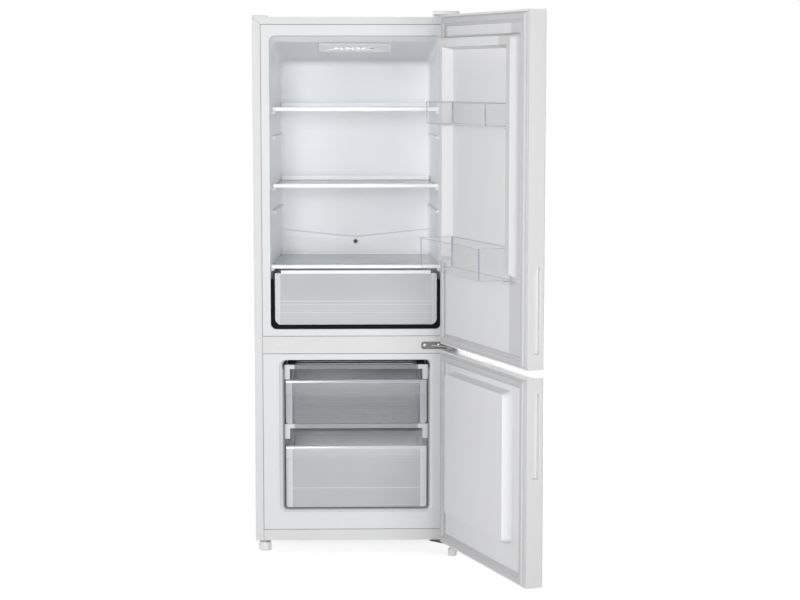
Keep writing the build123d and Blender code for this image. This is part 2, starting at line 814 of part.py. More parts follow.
# on this plane x runs to the right, y forwards up the slope and z down into the fridge
ceiling = Plane(
    (mid_x, front_y + control_setback, panel_z),
    x_dir=(1, 0, 0),
    z_dir=(0, -sin(slope), -cos(slope)),
)
panel_sink = 0.6  # the ceiling's bend leaves it this hollow under the panel
lens_width = 150.0
lens_length = 44.0
lens_run = 92.0
lens_thick = 3.0
lens_proud = 0.4
button_well = 5.0
button_height = 4.6
light_places = [(first_light_x + n * light_pitch, -light_run) for n in range(light_count)]
with BuildPart() as control_housing:
    with BuildSketch(ceiling.offset(panel_sink)):
        with Locations((0, -control_length / 2)):
            RectangleRounded(control_width, control_length, 4)
    extrude(amount=control_thick)
    fillet(control_housing.faces().sort_by(Axis.Z)[0].edges(), 2.0)
    with BuildSketch(ceiling.offset(panel_sink + control_thick)):
        with Locations((0, -lens_run)):
            Rectangle(lens_width, lens_length)
        with Locations(*light_places):
            Circle(light_radius)
    extrude(amount=-lens_thick, mode=Mode.SUBTRACT)
    with BuildSketch(ceiling.offset(panel_sink + control_thick)):
        with Locations((button_x, -light_run)):
            Circle(button_radius + touch)
    extrude(amount=-button_well, mode=Mode.SUBTRACT)
save(control_housing, "control_housing")

with BuildPart() as lamp_lenses:
    with BuildSketch(ceiling.offset(panel_sink + control_thick - lens_thick)):
        with Locations((0, -lens_run)):
            Rectangle(lens_width, lens_length)
        with Locations(*light_places):
            Circle(light_radius)
    extrude(amount=lens_thick + lens_proud)
save(lamp_lenses, "lamp_lenses")

button_low = panel_sink + control_thick - button_well + touch + button_travel
with BuildPart() as control_button:
    with BuildSketch(ceiling.offset(button_low)):
        with Locations((button_x, -light_run)):
            Circle(button_radius)
    extrude(amount=button_height)
    fillet(control_button.faces().sort_by(Axis.Z)[0].edges(), 0.8)
save(control_button, "control_button")


# ---------------------------------------------------------------- freezer drawers
pull_step = 2.5  # pull in front of the flat of a drawer's front
pull_reach = 9.0
pull_slope = 6.0


def drawer_front_piece(low_z, high_z, grip_drop):
    """A clear drawer front with a rolled pull along its top."""
    y = front_y + freezer_front_setback
    half = freezer_half - drawer_side_gap
    with BuildPart() as front:
        with BuildSketch(Plane.YZ.offset(mid_x)) as section:
            with BuildLine():
                Polyline(
                    (y, low_z),
                    (y, high_z - grip_drop - pull_slope),
                    (y - pull_step, high_z - grip_drop),
                    (y - pull_step, high_z),
                    (y + pull_reach, high_z),
                    (y + pull_reach, high_z - drawer_front),
                    (y - pull_step + drawer_front, high_z - drawer_front),
                    (y - pull_step + drawer_front, high_z - grip_drop + 1),
                    (y + drawer_front, high_z - grip_drop - pull_slope + 1),
                    (y + drawer_front, low_z),
                    close=True,
                )
            make_face()
        extrude(amount=half, both=True)
        corners = front.edges().filter_by(Axis.Y).group_by(Axis.Z)[0]
        fillet(corners, freezer_corner - drawer_side_gap)
    return front


def basket(low_z, front_top_z, grip_drop, end_y):
    """The open basket, which meets the flat of its front just under the pull."""
    high_z = front_top_z - basket_rim_drop
    lean = (grip_drop + pull_slope - 1 - basket_rim_drop) * tan(radians(drawer_draft))
    y = front_y + freezer_front_setback + drawer_front + touch - lean
    half = freezer_half - basket_inset
    with BuildPart() as box:
        body, hollow = tray(
            (mid_x - half, mid_x + half), (y, end_y), (low_z, high_z),
            drawer_wall, 12.0, drawer_draft,
        )
        add(body)
        add(hollow, mode=Mode.SUBTRACT)
    return box


upper_freezer_front = drawer_front_piece(
    upper_drawer_low_z, upper_drawer_high_z, upper_grip_drop
)
save(upper_freezer_front, "upper_freezer_front")
upper_freezer_basket = basket(
    upper_drawer_low_z, upper_drawer_high_z, upper_grip_drop,
    freezer_back_y - upper_drawer_back_gap,
)
save(upper_freezer_basket, "upper_freezer_basket")

lower_drawer_low_z = freezer_floor_z + lower_drawer_gap
lower_freezer_front = drawer_front_piece(
    lower_drawer_low_z, lower_drawer_high_z, lower_grip_drop
)
save(lower_freezer_front, "lower_freezer_front")
lower_freezer_basket = basket(
    freezer_floor_z + touch, lower_drawer_high_z, lower_grip_drop,
    hump_y - lower_drawer_back_gap,
)
save(lower_freezer_basket, "lower_freezer_basket")


# ---------------------------------------------------------------- doors, built closed
def grip_reach(grip_z):
    """Depth and height that a door's finger recess takes up, walls included."""
    grip_y = door_back_y - grip_from_back
    return (
        (grip_y - grip_width - grip_wall, grip_y + grip_wall),
        (grip_z - grip_wall, grip_z + grip_height + grip_wall),
    )


def door_skin(low_z, high_z, grip_z):
    """Steel front of a door, bent round both sides and folded in behind them."""
    with BuildPart() as skin:
        with BuildSketch(Plane.XY.offset(low_z + cap_plate)) as section:
            with Locations((mid_x, (door_front_y + door_back_y) / 2)):
                Rectangle(cabinet_width, door_thickness)
            fillet(section.vertices().group_by(Axis.Y)[0], door_edge_radius)
            offset(amount=-sheet, mode=Mode.SUBTRACT)
            with Locations((mid_x, door_back_y)):
                Rectangle(cabinet_width - 2 * door_return, 4 * sheet, mode=Mode.SUBTRACT)
        extrude(amount=high_z - low_z - 2 * cap_plate)
        block((left_x - 1, left_x + 2 * sheet), *grip_reach(grip_z), mode=Mode.SUBTRACT)
    return skin


def door_grip(grip_z):
    """Plastic finger recess let into the door's free side."""
    grip_y = door_back_y - grip_from_back
    with BuildPart() as grip:
        block((left_x, left_x + grip_depth + grip_wall), *grip_reach(grip_z))
        with BuildSketch(Plane.XY.offset(grip_z)) as hollow:
            with BuildLine():
                Polyline(
                    (left_x - 1, grip_y - grip_width),
                    (left_x - 1, grip_y),
                    (left_x + grip_depth - 4, grip_y),
                    (left_x + grip_depth, grip_y - 5),
                    (left_x + grip_depth, grip_y - grip_width),
                    close=True,
                )
            make_face()
        extrude(amount=grip_height, mode=Mode.SUBTRACT)
    return grip


def door_caps(low_z, high_z, pins):
    """Plastic caps that close a door's two ends and hold the hinge pins."""
    boss_depth = 30.0
    boss_width = 30.0
    boss_half = 12.0
    with BuildPart() as caps:
        for end_z, inward in ((low_z, 1), (high_z, -1)):
            plate_z = sorted((end_z, end_z + inward * cap_plate))
            skirt_z = sorted((end_z, end_z + inward * cap_skirt))
            boss_z = sorted((end_z, end_z + inward * boss_depth))
            block((left_x, right_x), (door_front_y, door_back_y), plate_z)
            block(
                (left_x + sheet, right_x - sheet),
                (door_back_y - liner_wall, door_back_y),
                skirt_z,
            )
            block(
                (right_x - boss_width, right_x - sheet),
                (-boss_half, boss_half), boss_z,
            )
        front_edges = caps.edges().filter_by(Axis.Z).filter_by(
            lambda edge: edge.center().Y < door_front_y + 0.1
        )
        fillet(front_edges, door_edge_radius)
        block(
            (left_x - 1, left_x + door_return), (door_back_y - sheet, door_back_y + 1),
            (low_z + cap_plate, high_z - cap_plate), mode=Mode.SUBTRACT,
        )
        block(
            (right_x - door_return, right_x + 1), (door_back_y - sheet, door_back_y + 1),
            (low_z + cap_plate, high_z - cap_plate), mode=Mode.SUBTRACT,
        )
        for top_z, bottom_z in pins:
            rod((0, 0, bottom_z), (0, 0, top_z), pin_radius + pin_fit, mode=Mode.SUBTRACT)
    return caps


def door_gasket(low_z, high_z):
    """Magnetic rubber seal round the door's inner face."""
    x = (left_x + gasket_inset, 0.0)
    z = (low_z + gasket_inset, high_z - gasket_inset)
    lip_inset = 5.0  # sides lean in towards the cabinet
    with BuildPart() as gasket:
        for inset, y in ((0.0, door_back_y), (lip_inset, front_y - touch)):
            with BuildSketch(Plane((0, y, 0), x_dir=(1, 0, 0), z_dir=(0, -1, 0))):
                with Locations(((x[0] + x[1]) / 2, (z[0] + z[1]) / 2)):
                    Rectangle(x[1] - x[0] - 2 * inset, z[1] - z[0] - 2 * inset)
        loft()
        block(
            (x[0] + gasket_width, x[1] - gasket_width), (door_back_y - 1, front_y + 1),
            (z[0] + gasket_width, z[1] - gasket_width), mode=Mode.SUBTRACT,
        )
    return gasket


def lining_plate(low_z, high_z):
    """Flat sheet behind a door's inner face, between the folded edges and the end caps."""
    return (
        (left_x + door_return + seam, right_x - door_return - seam),
        (door_back_y - liner_wall, door_back_y),
        (low_z + cap_skirt + seam / 2, high_z - cap_skirt - seam / 2),
    )


bins = [
    ("upper", upper_bin_low_z, upper_bin_height, upper_bin_depth),
    ("lower", lower_bin_low_z, lower_bin_height, lower_bin_depth),
]


def fridge_ribs(shrink=0.0):
    """Raised ribs inside the fridge door, along both sides and across the top."""
    outer = half_width - lining_inset - shrink
    inner = half_width - lining_inset - rib_width + shrink
    high_z = rib_high_z - shrink
    under_z = rib_high_z - rib_width + shrink
    low_z = rib_low_z + shrink
    with BuildPart() as ribs:
        with BuildSketch(
            Plane((mid_x, door_back_y, 0), x_dir=(-1, 0, 0), z_dir=(0, 1, 0))
        ) as outline:
            with BuildLine():
                Polyline(
                    (-outer, low_z),
                    (-inner, low_z + rib_end_slant),
                    (-inner, under_z),
                    (inner, under_z),
                    (inner, low_z + rib_end_slant),
                    (outer, low_z),
                    (outer, high_z),
                    (-outer, high_z),
                    close=True,
                )
            make_face()
            for side in (-1, 1):
                fillet(
                    outline.vertices().sort_by_distance((side * outer, high_z, 0))[0],
                    fridge_corner - shrink,
                )
        extrude(outline.sketch, amount=rib_height - shrink, taper=rib_draft)
        if shrink:
            extrude(outline.sketch, amount=-liner_wall)
    return ribs.part


def bin_lugs():
    """Lugs on the inner sides of the ribs, under the ends of the bins."""
    lug_height = 3.0
    lug_width = 10.0
    lug_root = 1.2  # lugs start this far inside the ribs
    start_y = door_back_y - liner_wall / 2
    end_y = door_back_y + rib_height - 1
    lean = tan(radians(rib_draft))
    with BuildPart() as lugs:
        for _, low_z, _, _ in bins:
            with BuildSketch(Plane.XY.offset(low_z - touch - lug_height)) as section:
                for side in (-1, 1):
                    with BuildLine():
                        Polyline(
                            (mid_x + side * (bin_half - lug_width), start_y),
                            (mid_x + side * (bin_half + lug_root), start_y),
                            (mid_x + side * (bin_half + lug_root + lean * rib_height), end_y),
                            (mid_x + side * (bin_half - lug_width), end_y),
                            close=True,
                        )
                    make_face()
            extrude(section.sketch, amount=lug_height)
    return lugs.part


def freezer_plateau(shrink=0.0):
    """Raised field inside the freezer door, which reaches into the freezer's mouth."""
    half = freezer_half - plateau_side - shrink
    low_z = freezer_floor_z + plateau_end + shrink
    high_z = freezer_ceiling_z - plateau_end - shrink
    with BuildPart() as field:
        with BuildSketch(
            Plane((mid_x, door_back_y, 0), x_dir=(-1, 0, 0), z_dir=(0, 1, 0))
        ) as outline:
            with Locations((0, (low_z + high_z) / 2)):
                RectangleRounded(2 * half, high_z - low_z, plateau_corner - shrink)
        extrude(outline.sketch, amount=plateau_height - shrink, taper=rib_draft)
        if shrink:
            extrude(outline.sketch, amount=-liner_wall)
    return field.part


def door_liner(low_z, high_z, raised, raised_inside, lugs):
    """Formed plastic sheet on a door's inside, hollow where it is raised."""
    with BuildPart() as lining:
        block(*lining_plate(low_z, high_z))
        add(raised)
        for lug in lugs:
            add(lug)
        add(raised_inside, mode=Mode.SUBTRACT)
    return lining


def door_foam(low_z, high_z, grip_z, raised_inside, pieces, pins):
    """Foam that fills a door between its skin, caps and liner."""
    with BuildPart() as foam:
        block(
            (left_x + sheet, right_x - sheet),
            (door_front_y + sheet, door_back_y - liner_wall),
            (low_z + cap_plate, high_z - cap_plate),
        )
        edges = foam.edges().filter_by(Axis.Z).group_by(Axis.Y)[0]
        fillet(edges, door_edge_radius - sheet)
        add(raised_inside)
        block(
            (left_x, left_x + grip_depth + grip_wall), *grip_reach(grip_z), mode=Mode.SUBTRACT
        )
        for piece in pieces:
            add(piece.part, mode=Mode.SUBTRACT)
        for top_z, bottom_z in pins:
            rod((0, 0, bottom_z), (0, 0, top_z), pin_radius + pin_fit, mode=Mode.SUBTRACT)
    return foam


doors = {
    "fridge": (
        upper_door_low_z, upper_door_high_z, upper_door_low_z + grip_end_offset,
        fridge_ribs(), fridge_ribs(liner_wall), [bin_lugs()],
        [
            (upper_door_low_z + mid_pin_length, upper_door_low_z - 5),
            (upper_door_high_z + 5, upper_door_high_z - top_pin_length - 1),
        ],
    ),
    "freezer": (
        lower_door_low_z, lower_door_high_z,
        lower_door_high_z - grip_end_offset - grip_height,
        freezer_plateau(), freezer_plateau(liner_wall), [],
        [
            (lower_door_low_z + mid_pin_length, lower_door_low_z - 5),
            (lower_door_high_z + 5, lower_door_high_z - mid_pin_length),
        ],
    ),
}
for name, pieces in doors.items():
    low_z, high_z, grip_z, raised, raised_inside, lugs, pins = pieces
    skin = door_skin(low_z, high_z, grip_z)
    grip = door_grip(grip_z)
    caps = door_caps(low_z, high_z, pins)
    gasket = door_gasket(low_z, high_z)
    liner = door_liner(low_z, high_z, raised, raised_inside, lugs)
    foam = door_foam(low_z, high_z, grip_z, raised_inside, [skin, caps, liner], pins)
    save(opened(skin), f"{name}_door_skin")
    save(opened(grip), f"{name}_door_grip")
    save(opened(caps), f"{name}_door_caps")
    save(opened(gasket), f"{name}_door_gasket")
    save(opened(liner), f"{name}_door_liner")
    save(opened(foam), f"{name}_door_foam")


# ---------------------------------------------------------------- door bins, which stand on lugs
def door_bin(low_z, height, depth):
    """A clear bin between the fridge door's ribs."""
    half = bin_half - bin_side_gap
    bin_corner = 9.0
    bin_draft = 2.0
    with BuildPart() as door_tray:
        body, hollow = tray(
            (mid_x - half, mid_x + half), (door_back_y + touch, door_back_y + depth),
            (low_z, low_z + height), bin_wall, bin_corner, bin_draft,
        )
        add(body)
        add(hollow, mode=Mode.SUBTRACT)
    return door_tray


for name, low_z, height, depth in bins:
    save(opened(door_bin(low_z, height, depth)), f"{name}_door_bin")

# ---------------------------------------------------------------- hinges
top_hinge_back_y = front_y + 66.0
bottom_hinge_back_y = front_y + 62.0
hinge_left_x = -50.0
bottom_left_x = hinge_left_x - 10.0
arm_boss_radius = 11.0


def hinge_arm(z, thickness, join_x, join_y, boss_radius):
    """Add a flat arm that narrows from the cabinet to a round boss on the hinge axis."""
    with BuildSketch(Plane.XY.offset(z)) as outline:
        with BuildLine():
            Polyline(
                (join_x[0], join_y), (join_x[1], join_y), (boss_radius, 0),
                (-boss_radius * 0.7, -boss_radius * 0.7), close=True,
            )
        make_face()
        Circle(boss_radius)
    extrude(outline.sketch, amount=thickness)


# ---------------------------------------------------------------- top hinge and its cover
riser_y = front_y - 5.0
arm_z = cabinet_height + top_arm_lift
with BuildPart() as top_hinge:
    block(
        (hinge_left_x, right_x - 3), (riser_y, top_hinge_back_y),
        (cabinet_height, cabinet_height + hinge_plate),
    )
    block(
        (hinge_left_x, right_x - 3), (riser_y, riser_y + hinge_plate),
        (cabinet_height, arm_z + hinge_plate),
    )
    hinge_arm(
        arm_z, hinge_plate, (hinge_left_x, right_x - 3), riser_y + hinge_plate, arm_boss_radius
    )
    rod((0, 0, upper_door_high_z - top_pin_length), (0, 0, arm_z + hinge_plate), pin_radius)
    add(hinge_screws.part, mode=Mode.SUBTRACT)
save(top_hinge, "top_hinge")

cover_wall = 2.0
cover_x = (hinge_left_x - cover_wall - 1, right_x - 0.5)
cover_y = (-14.5, top_hinge_back_y + cover_wall + 1)
cover_lip_z = upper_door_high_z + 1.0
with BuildPart() as top_hinge_cover:
    block(cover_x, (front_y, cover_y[1]), (cabinet_height, cabinet_height + cover_height))
    block(cover_x, (cover_y[0], front_y), (cover_lip_z, cabinet_height + cover_height))
    fillet(top_hinge_cover.edges().filter_by(Axis.Z).group_by(Axis.Y)[0], 12.0)
    fillet(top_hinge_cover.faces().sort_by(Axis.Z)[-1].edges(), 2.0)
    inner_x = (cover_x[0] + cover_wall, cover_x[1] - cover_wall)
    block(
        inner_x, (front_y - cover_wall, cover_y[1] - cover_wall),
        (cabinet_height - 1, cabinet_height + cover_height - cover_wall), mode=Mode.SUBTRACT,
    )
    with BuildSketch(Plane.XY.offset(cover_lip_z - 1)) as front_room:
        with Locations(((inner_x[0] + inner_x[1]) / 2, (cover_y[0] + cover_wall + front_y) / 2)):
            Rectangle(inner_x[1] - inner_x[0], front_y - cover_y[0] - cover_wall)
        fillet(front_room.vertices().group_by(Axis.Y)[0], 10.0)
    extrude(
        amount=cabinet_height + cover_height - cover_wall - cover_lip_z + 1, mode=Mode.SUBTRACT
    )
save(top_hinge_cover, "top_hinge_cover")

# ---------------------------------------------------------------- middle hinge, which carries the
# upper door on a collar and guides the lower door
mid_plate_x = (-84.0, -14.0)
mid_plate_z = (mid_hinge_z - 11.0, mid_hinge_z + 9.0)
mid_arm_z = mid_hinge_z - 2.0
with BuildPart() as mid_hinge:
    block(mid_plate_x, (front_y - hinge_plate, front_y), mid_plate_z)
    fillet(mid_hinge.edges().filter_by(Axis.Y).group_by(Axis.X)[0], 6.0)
    hinge_arm(mid_arm_z, hinge_plate, (-60.0, mid_plate_x[1]), front_y - hinge_plate, 10.0)
    rod(
        (0, 0, lower_door_high_z - mid_pin_length + 1), (0, 0, upper_door_low_z + mid_pin_length - 1),
        pin_radius,
    )
    rod((0, 0, mid_arm_z), (0, 0, upper_door_low_z - pin_fit), collar_radius)
    add(hinge_screws.part, mode=Mode.SUBTRACT)
save(mid_hinge, "mid_hinge")

# ---------------------------------------------------------------- bottom hinge, which carries the
# lower door and stands on its own foot
bottom_plate_z = floor_gap - bottom_plate
with BuildPart() as bottom_hinge:
    block(
        (bottom_left_x, right_x - 5), (front_y, bottom_hinge_back_y),
        (bottom_plate_z, floor_gap),
    )
    hinge_arm(
        bottom_plate_z, bottom_plate, (bottom_left_x, right_x - 5), front_y, arm_boss_radius
    )
    rod((0, 0, bottom_plate_z), (0, 0, lower_door_low_z + mid_pin_length - 1), pin_radius)
    rod((0, 0, bottom_plate_z), (0, 0, lower_door_low_z - pin_fit), collar_radius)
    add(hinge_screws.part, mode=Mode.SUBTRACT)
save(bottom_hinge, "bottom_hinge")

# ---------------------------------------------------------------- feet
with BuildPart() as hinge_side_foot:
    rod((0, 0, 0), (0, 0, hinge_foot_height), hinge_foot_radius)
    chamfer(hinge_side_foot.faces().sort_by(Axis.Z)[0].edges(), 1.5)
    fillet(hinge_side_foot.faces().sort_by(Axis.Z)[-1].edges(), 2.0)
    rod((0, 0, hinge_foot_height - 1), (0, 0, bottom_plate_z), stem_radius)
save(hinge_side_foot, "hinge_side_foot")

left_stem_top_z = floor_gap + 11.0
with BuildPart() as front_left_foot:
    rod((foot_x, foot_y, 0), (foot_x, foot_y, left_foot_height), left_foot_radius)
    chamfer(front_left_foot.faces().sort_by(Axis.Z)[0].edges(), 2.0)
    fillet(front_left_foot.faces().sort_by(Axis.Z)[-1].edges(), 3.0)
    rod((foot_x, foot_y, left_foot_height - 1), (foot_x, foot_y, left_stem_top_z), stem_radius)
save(front_left_foot, "front_left_foot")

# ---------------------------------------------------------------- plugs over the hinge holes on the
# side where the doors could be hung instead
top_plug_length = 40.0
mid_plug_length = 38.0
mid_plug_inset = 56.0
top_plug_height = 4.5
mid_plug_thick = 1.4
with BuildPart() as hinge_hole_plugs:
    block(
        (left_x + 2, left_x + 2 + top_plug_length), (front_y + 3, front_y + 58),
        (cabinet_height, cabinet_height + top_plug_height),
    )
    plug_x = left_x + mid_plug_inset
    block(
        (plug_x, plug_x + mid_plug_length), (front_y - mid_plug_thick, front_y),
        (mid_hinge_z - 2, mid_hinge_z + 6),
    )
    fillet(hinge_hole_plugs.faces().sort_by(Axis.Z)[-1].edges(), 1.5)
    corners = hinge_hole_plugs.edges().filter_by(Axis.Y).filter_by(
        lambda edge: edge.center().Z < mid_hinge_z + 20
    )
    fillet(corners, 2.0)
save(hinge_hole_plugs, "hinge_hole_plugs")

# ---------------------------------------------------------------- compressor, on rubber mounts
compressor_x = right_x - 155.0
compressor_y = (bay_front_y + back_y) / 2
feet_z = floor_gap + liner_wall + mount_height
feet_plate = 2.5
plate_half_x = 88.0
plate_half_y = 52.0
bolt_radius = 3.0
bolt_head_radius = 6.5
bolt_head = 4.0
mount_radius = 11.0
weld_out = 3.0
weld_height = 4.0
dome_radius = 32.0
body_low_z = feet_z + feet_plate
body_top_z = body_low_z + compressor_height
mount_places = [
    (compressor_x + side * 75.0, compressor_y + end * 40.0) for side in (-1, 1) for end in (-1, 1)
]
discharge = (compressor_x + 70.0, back_y - 10.0, body_low_z + 98.0)
suction = (compressor_x + compressor_width / 2 - 1, compressor_y, body_low_z + 68.0)
with BuildPart() as compressor_bolts:
    for x, y in mount_places:
        rod((x, y, floor_gap - bolt_radius), (x, y, body_low_z), bolt_radius)
        rod((x, y, body_low_z), (x, y, body_low_z + bolt_head), bolt_head_radius)
save(compressor_bolts, "compressor_bolts")

with BuildPart() as compressor:
    block(
        (compressor_x - plate_half_x, compressor_x + plate_half_x),
        (compressor_y - plate_half_y, compressor_y + plate_half_y),
        (feet_z, body_low_z),
    )
    with BuildSketch(Plane.XY.offset(body_low_z)) as girth:
        with Locations((compressor_x, compressor_y)):
            Ellipse(compressor_width / 2 - 10, compressor_depth / 2)
    extrude(girth.sketch, amount=compressor_height)
    fillet(compressor.faces().sort_by(Axis.Z)[-1].edges(), dome_radius)
    with BuildSketch(Plane.XY.offset(body_low_z + compressor_height * 0.45)) as seam_ring:
        with Locations((compressor_x, compressor_y)):
            Ellipse(compressor_width / 2 - 10 + weld_out, compressor_depth / 2 + weld_out)
    extrude(seam_ring.sketch, amount=weld_height)
    rod((discharge[0], compressor_y, discharge[2]), discharge, pipe_radius)
    rod((compressor_x, suction[1], suction[2]), suction, pipe_radius)
    add(compressor_bolts.part, mode=Mode.SUBTRACT)
save(compressor, "compressor")

with BuildPart() as compressor_mounts:
    for x, y in mount_places:
        rod((x, y, floor_gap + liner_wall), (x, y, feet_z), mount_radius)
    add(compressor_bolts.part, mode=Mode.SUBTRACT)
save(compressor_mounts, "compressor_mounts")

relay_x = compressor_x - compressor_width / 2 + 10 - weld_out - touch
relay_width = 32.0
relay_half_depth = 24.0
relay_rise = 35.0
relay_height = 60.0
with BuildPart() as relay_box:
    block(
        (relay_x - relay_width, relay_x),
        (compressor_y - relay_half_depth, compressor_y + relay_half_depth),
        (body_low_z + relay_rise, body_low_z + relay_rise + relay_height),
    )
    fillet(relay_box.faces().sort_by(Axis.X)[0].edges(), 4.0)
save(relay_box, "relay_box")

# ---------------------------------------------------------------- drip tray on the compressor,
# under the drain
tray_low_z = body_top_z + touch
tray_height = 12.0
with BuildPart() as drip_tray:
    body, hollow = tray(
        (mid_x - 30, compressor_x + 70),
        (compressor_y - plate_half_y, compressor_y + plate_half_y),
        (tray_low_z, tray_low_z + tray_height), 2.0, 10.0, 8.0,
    )
    add(body)
    add(hollow, mode=Mode.SUBTRACT)
save(drip_tray, "drip_tray")

# ---------------------------------------------------------------- condenser: one tube, folded up
# and down the back, with wires welded across it
condenser_y = back_y + condenser_standoff
condenser_right_x = right_x - condenser_side_gap
condenser_left_x = left_x + condenser_side_gap
condenser_high_z = cabinet_height - condenser_high_gap
run_count = 2 * int((condenser_high_z - condenser_low_z) / condenser_pitch / 2) + 1
condenser_start = (condenser_right_x, condenser_y, condenser_low_z - 30)
condenser_top_z = condenser_low_z + (run_count - 1) * condenser_pitch
condenser_bend = condenser_pitch * 0.28
wire_end = 12.0  # wires past the outer runs
bracket_half = 5.0
bracket_half_height = 8.0
bracket_over = 3.0
drier_x = condenser_left_x - 16
drier_top_z = bay_height - 35.0
condenser_end = (drier_x, condenser_y, bay_height + 15)
with BuildPart() as condenser_tube:
    route = [condenser_start]
    for n in range(run_count):
        z = condenser_low_z + n * condenser_pitch
        ends = [(condenser_right_x, condenser_y, z), (condenser_left_x, condenser_y, z)]
        route += ends if n % 2 == 0 else ends[::-1]
    route[-1] = (drier_x, condenser_y, condenser_top_z)
    route.append(condenser_end)
    tube(route, condenser_bend, condenser_tube_radius)
save(condenser_tube, "condenser_tube")

with BuildPart() as condenser_wires:
    wire_half = (condenser_right_x - condenser_left_x) / 2 - 20
    wire_count = int(2 * wire_half / wire_pitch) + 1
    reach = condenser_tube_radius + wire_radius
    for side in (-1, 1):
        for n in range(wire_count):
            x = mid_x - (wire_count - 1) * wire_pitch / 2 + n * wire_pitch
            y = condenser_y + side * reach
            rod(
                (x, y, condenser_low_z - wire_end), (x, y, condenser_top_z + wire_end), wire_radius
            )
save(condenser_wires, "condenser_wires")

with BuildPart() as condenser_brackets:
    for side in (-1, 1):
        for z in (condenser_low_z, condenser_top_z - condenser_pitch):
            x = mid_x + side * (wire_half + wire_pitch)
            block(
                (x - bracket_half, x + bracket_half),
                (back_y, condenser_y + condenser_tube_radius + bracket_over),
                (z - bracket_half_height, z + bracket_half_height),
            )
    add(condenser_tube.part, mode=Mode.SUBTRACT)
save(condenser_brackets, "condenser_brackets")

# ---------------------------------------------------------------- pipes in the bay: discharge,
# filter drier with its capillary, and suction
drier_y = back_y - 15.0
drier_low_z = floor_gap + 40.0
drier_radius = 9.0
drier_neck = 14.0
capillary_radius = 1.2
capillary_drop = 22.0
pipe_step = 20.0
with BuildPart() as refrigerant_pipes:
    tube(
        [discharge, (discharge[0], condenser_y, discharge[2]),
         (discharge[0], condenser_y, bay_height + 12),
         (condenser_right_x, condenser_y, bay_height + 12), condenser_start],
        12.0, condenser_tube_radius,
    )
    tube(
        [condenser_end, (drier_x, condenser_y, drier_top_z + drier_neck),
         (drier_x, drier_y, drier_top_z + drier_neck), (drier_x, drier_y, drier_top_z)],
        6.0, condenser_tube_radius,
    )
    rod((drier_x, drier_y, drier_top_z), (drier_x, drier_y, drier_low_z), drier_radius)
    tube(
        [(drier_x, drier_y, drier_low_z), (drier_x, drier_y, drier_low_z - capillary_drop),
         (drier_x, compressor_y, drier_low_z - capillary_drop),
         (drier_x, compressor_y, bay_height + 30)],
        9.0, capillary_radius,
    )
    tube(
        [suction, (suction[0] + pipe_step, suction[1], suction[2]),
         (suction[0] + pipe_step, suction[1], bay_height + 30)],
        10.0, pipe_radius,
    )
save(refrigerant_pipes, "refrigerant_pipes")

# ---------------------------------------------------------------- rear rollers, and the steel rail
# that carries them and the compressor
roller_y = back_y - roller_from_back
roller_places = {"left": left_x + roller_inset, "right": right_x - roller_inset}
for name, x in roller_places.items():
    with BuildPart() as roller:
        rod(
            (x - roller_width / 2, roller_y, roller_radius),
            (x + roller_width / 2, roller_y, roller_radius), roller_radius,
        )
        fillet(roller.edges(), 2.0)
        rod(
            (x - roller_width, roller_y, roller_radius), (x + roller_width, roller_y, roller_radius),
            roller_pin_radius + pin_fit, mode=Mode.SUBTRACT,
        )
    save(roller, f"{name}_rear_roller")

gland_x = mid_x - 90.0
gland_y = back_y - 22.0
gland_z = floor_gap + liner_wall + 14.0
gland_radius = 7.0
gland_flange_radius = 9.5
gland_post_half = 12.0
cord_radius = 3.6
rail_flange = 30.0
cheek_half = 12.0
cheek_drop = 8.0
rail_y = (bay_front_y + 12.0, back_y - 8.0)
with BuildPart() as compressor_rail:
    block(
        (left_x + sheet, right_x - sheet), rail_y, (floor_gap, floor_gap + liner_wall),
    )
    for side_x, inward in ((left_x + sheet, 1), (right_x - sheet, -1)):
        block(
            sorted((side_x, side_x + inward * liner_wall)), rail_y,
            (floor_gap, floor_gap + rail_flange),
        )
    for x in roller_places.values():
        block(
            (x - roller_width / 2 - 1, x + roller_width / 2 + 1),
            (roller_y - roller_radius - 1, roller_y + roller_radius + 1),
            (floor_gap - 1, floor_gap + liner_wall + 1), mode=Mode.SUBTRACT,
        )
        for side in (-1, 1):
            cheek_x = x + side * (roller_width / 2 + 2)
            block(
                (cheek_x - 1, cheek_x + 1), (roller_y - cheek_half, roller_y + cheek_half),
                (roller_radius - cheek_drop, floor_gap),
            )
        rod(
            (x - roller_width / 2 - 4, roller_y, roller_radius),
            (x + roller_width / 2 + 4, roller_y, roller_radius), roller_pin_radius,
        )
    block(
        (gland_x - gland_post_half, gland_x + gland_post_half), (gland_y - 1, gland_y + 1),
        (floor_gap + liner_wall, gland_z + gland_post_half),
    )
    rod(
        (gland_x, gland_y - 3, gland_z), (gland_x, gland_y + 3, gland_z), gland_radius,
        mode=Mode.SUBTRACT,
    )
    add(compressor_bolts.part, mode=Mode.SUBTRACT)
save(compressor_rail, "compressor_rail")

with BuildPart() as cord_gland:
    rod((gland_x, gland_y - 4, gland_z), (gland_x, gland_y + 9, gland_z), gland_radius)
    rod((gland_x, gland_y + 1, gland_z), (gland_x, gland_y + 3.5, gland_z), gland_flange_radius)
    rod(
        (gland_x, gland_y - 5, gland_z), (gland_x, gland_y + 10, gland_z), cord_radius,
        mode=Mode.SUBTRACT,
    )
save(cord_gland, "cord_gland")

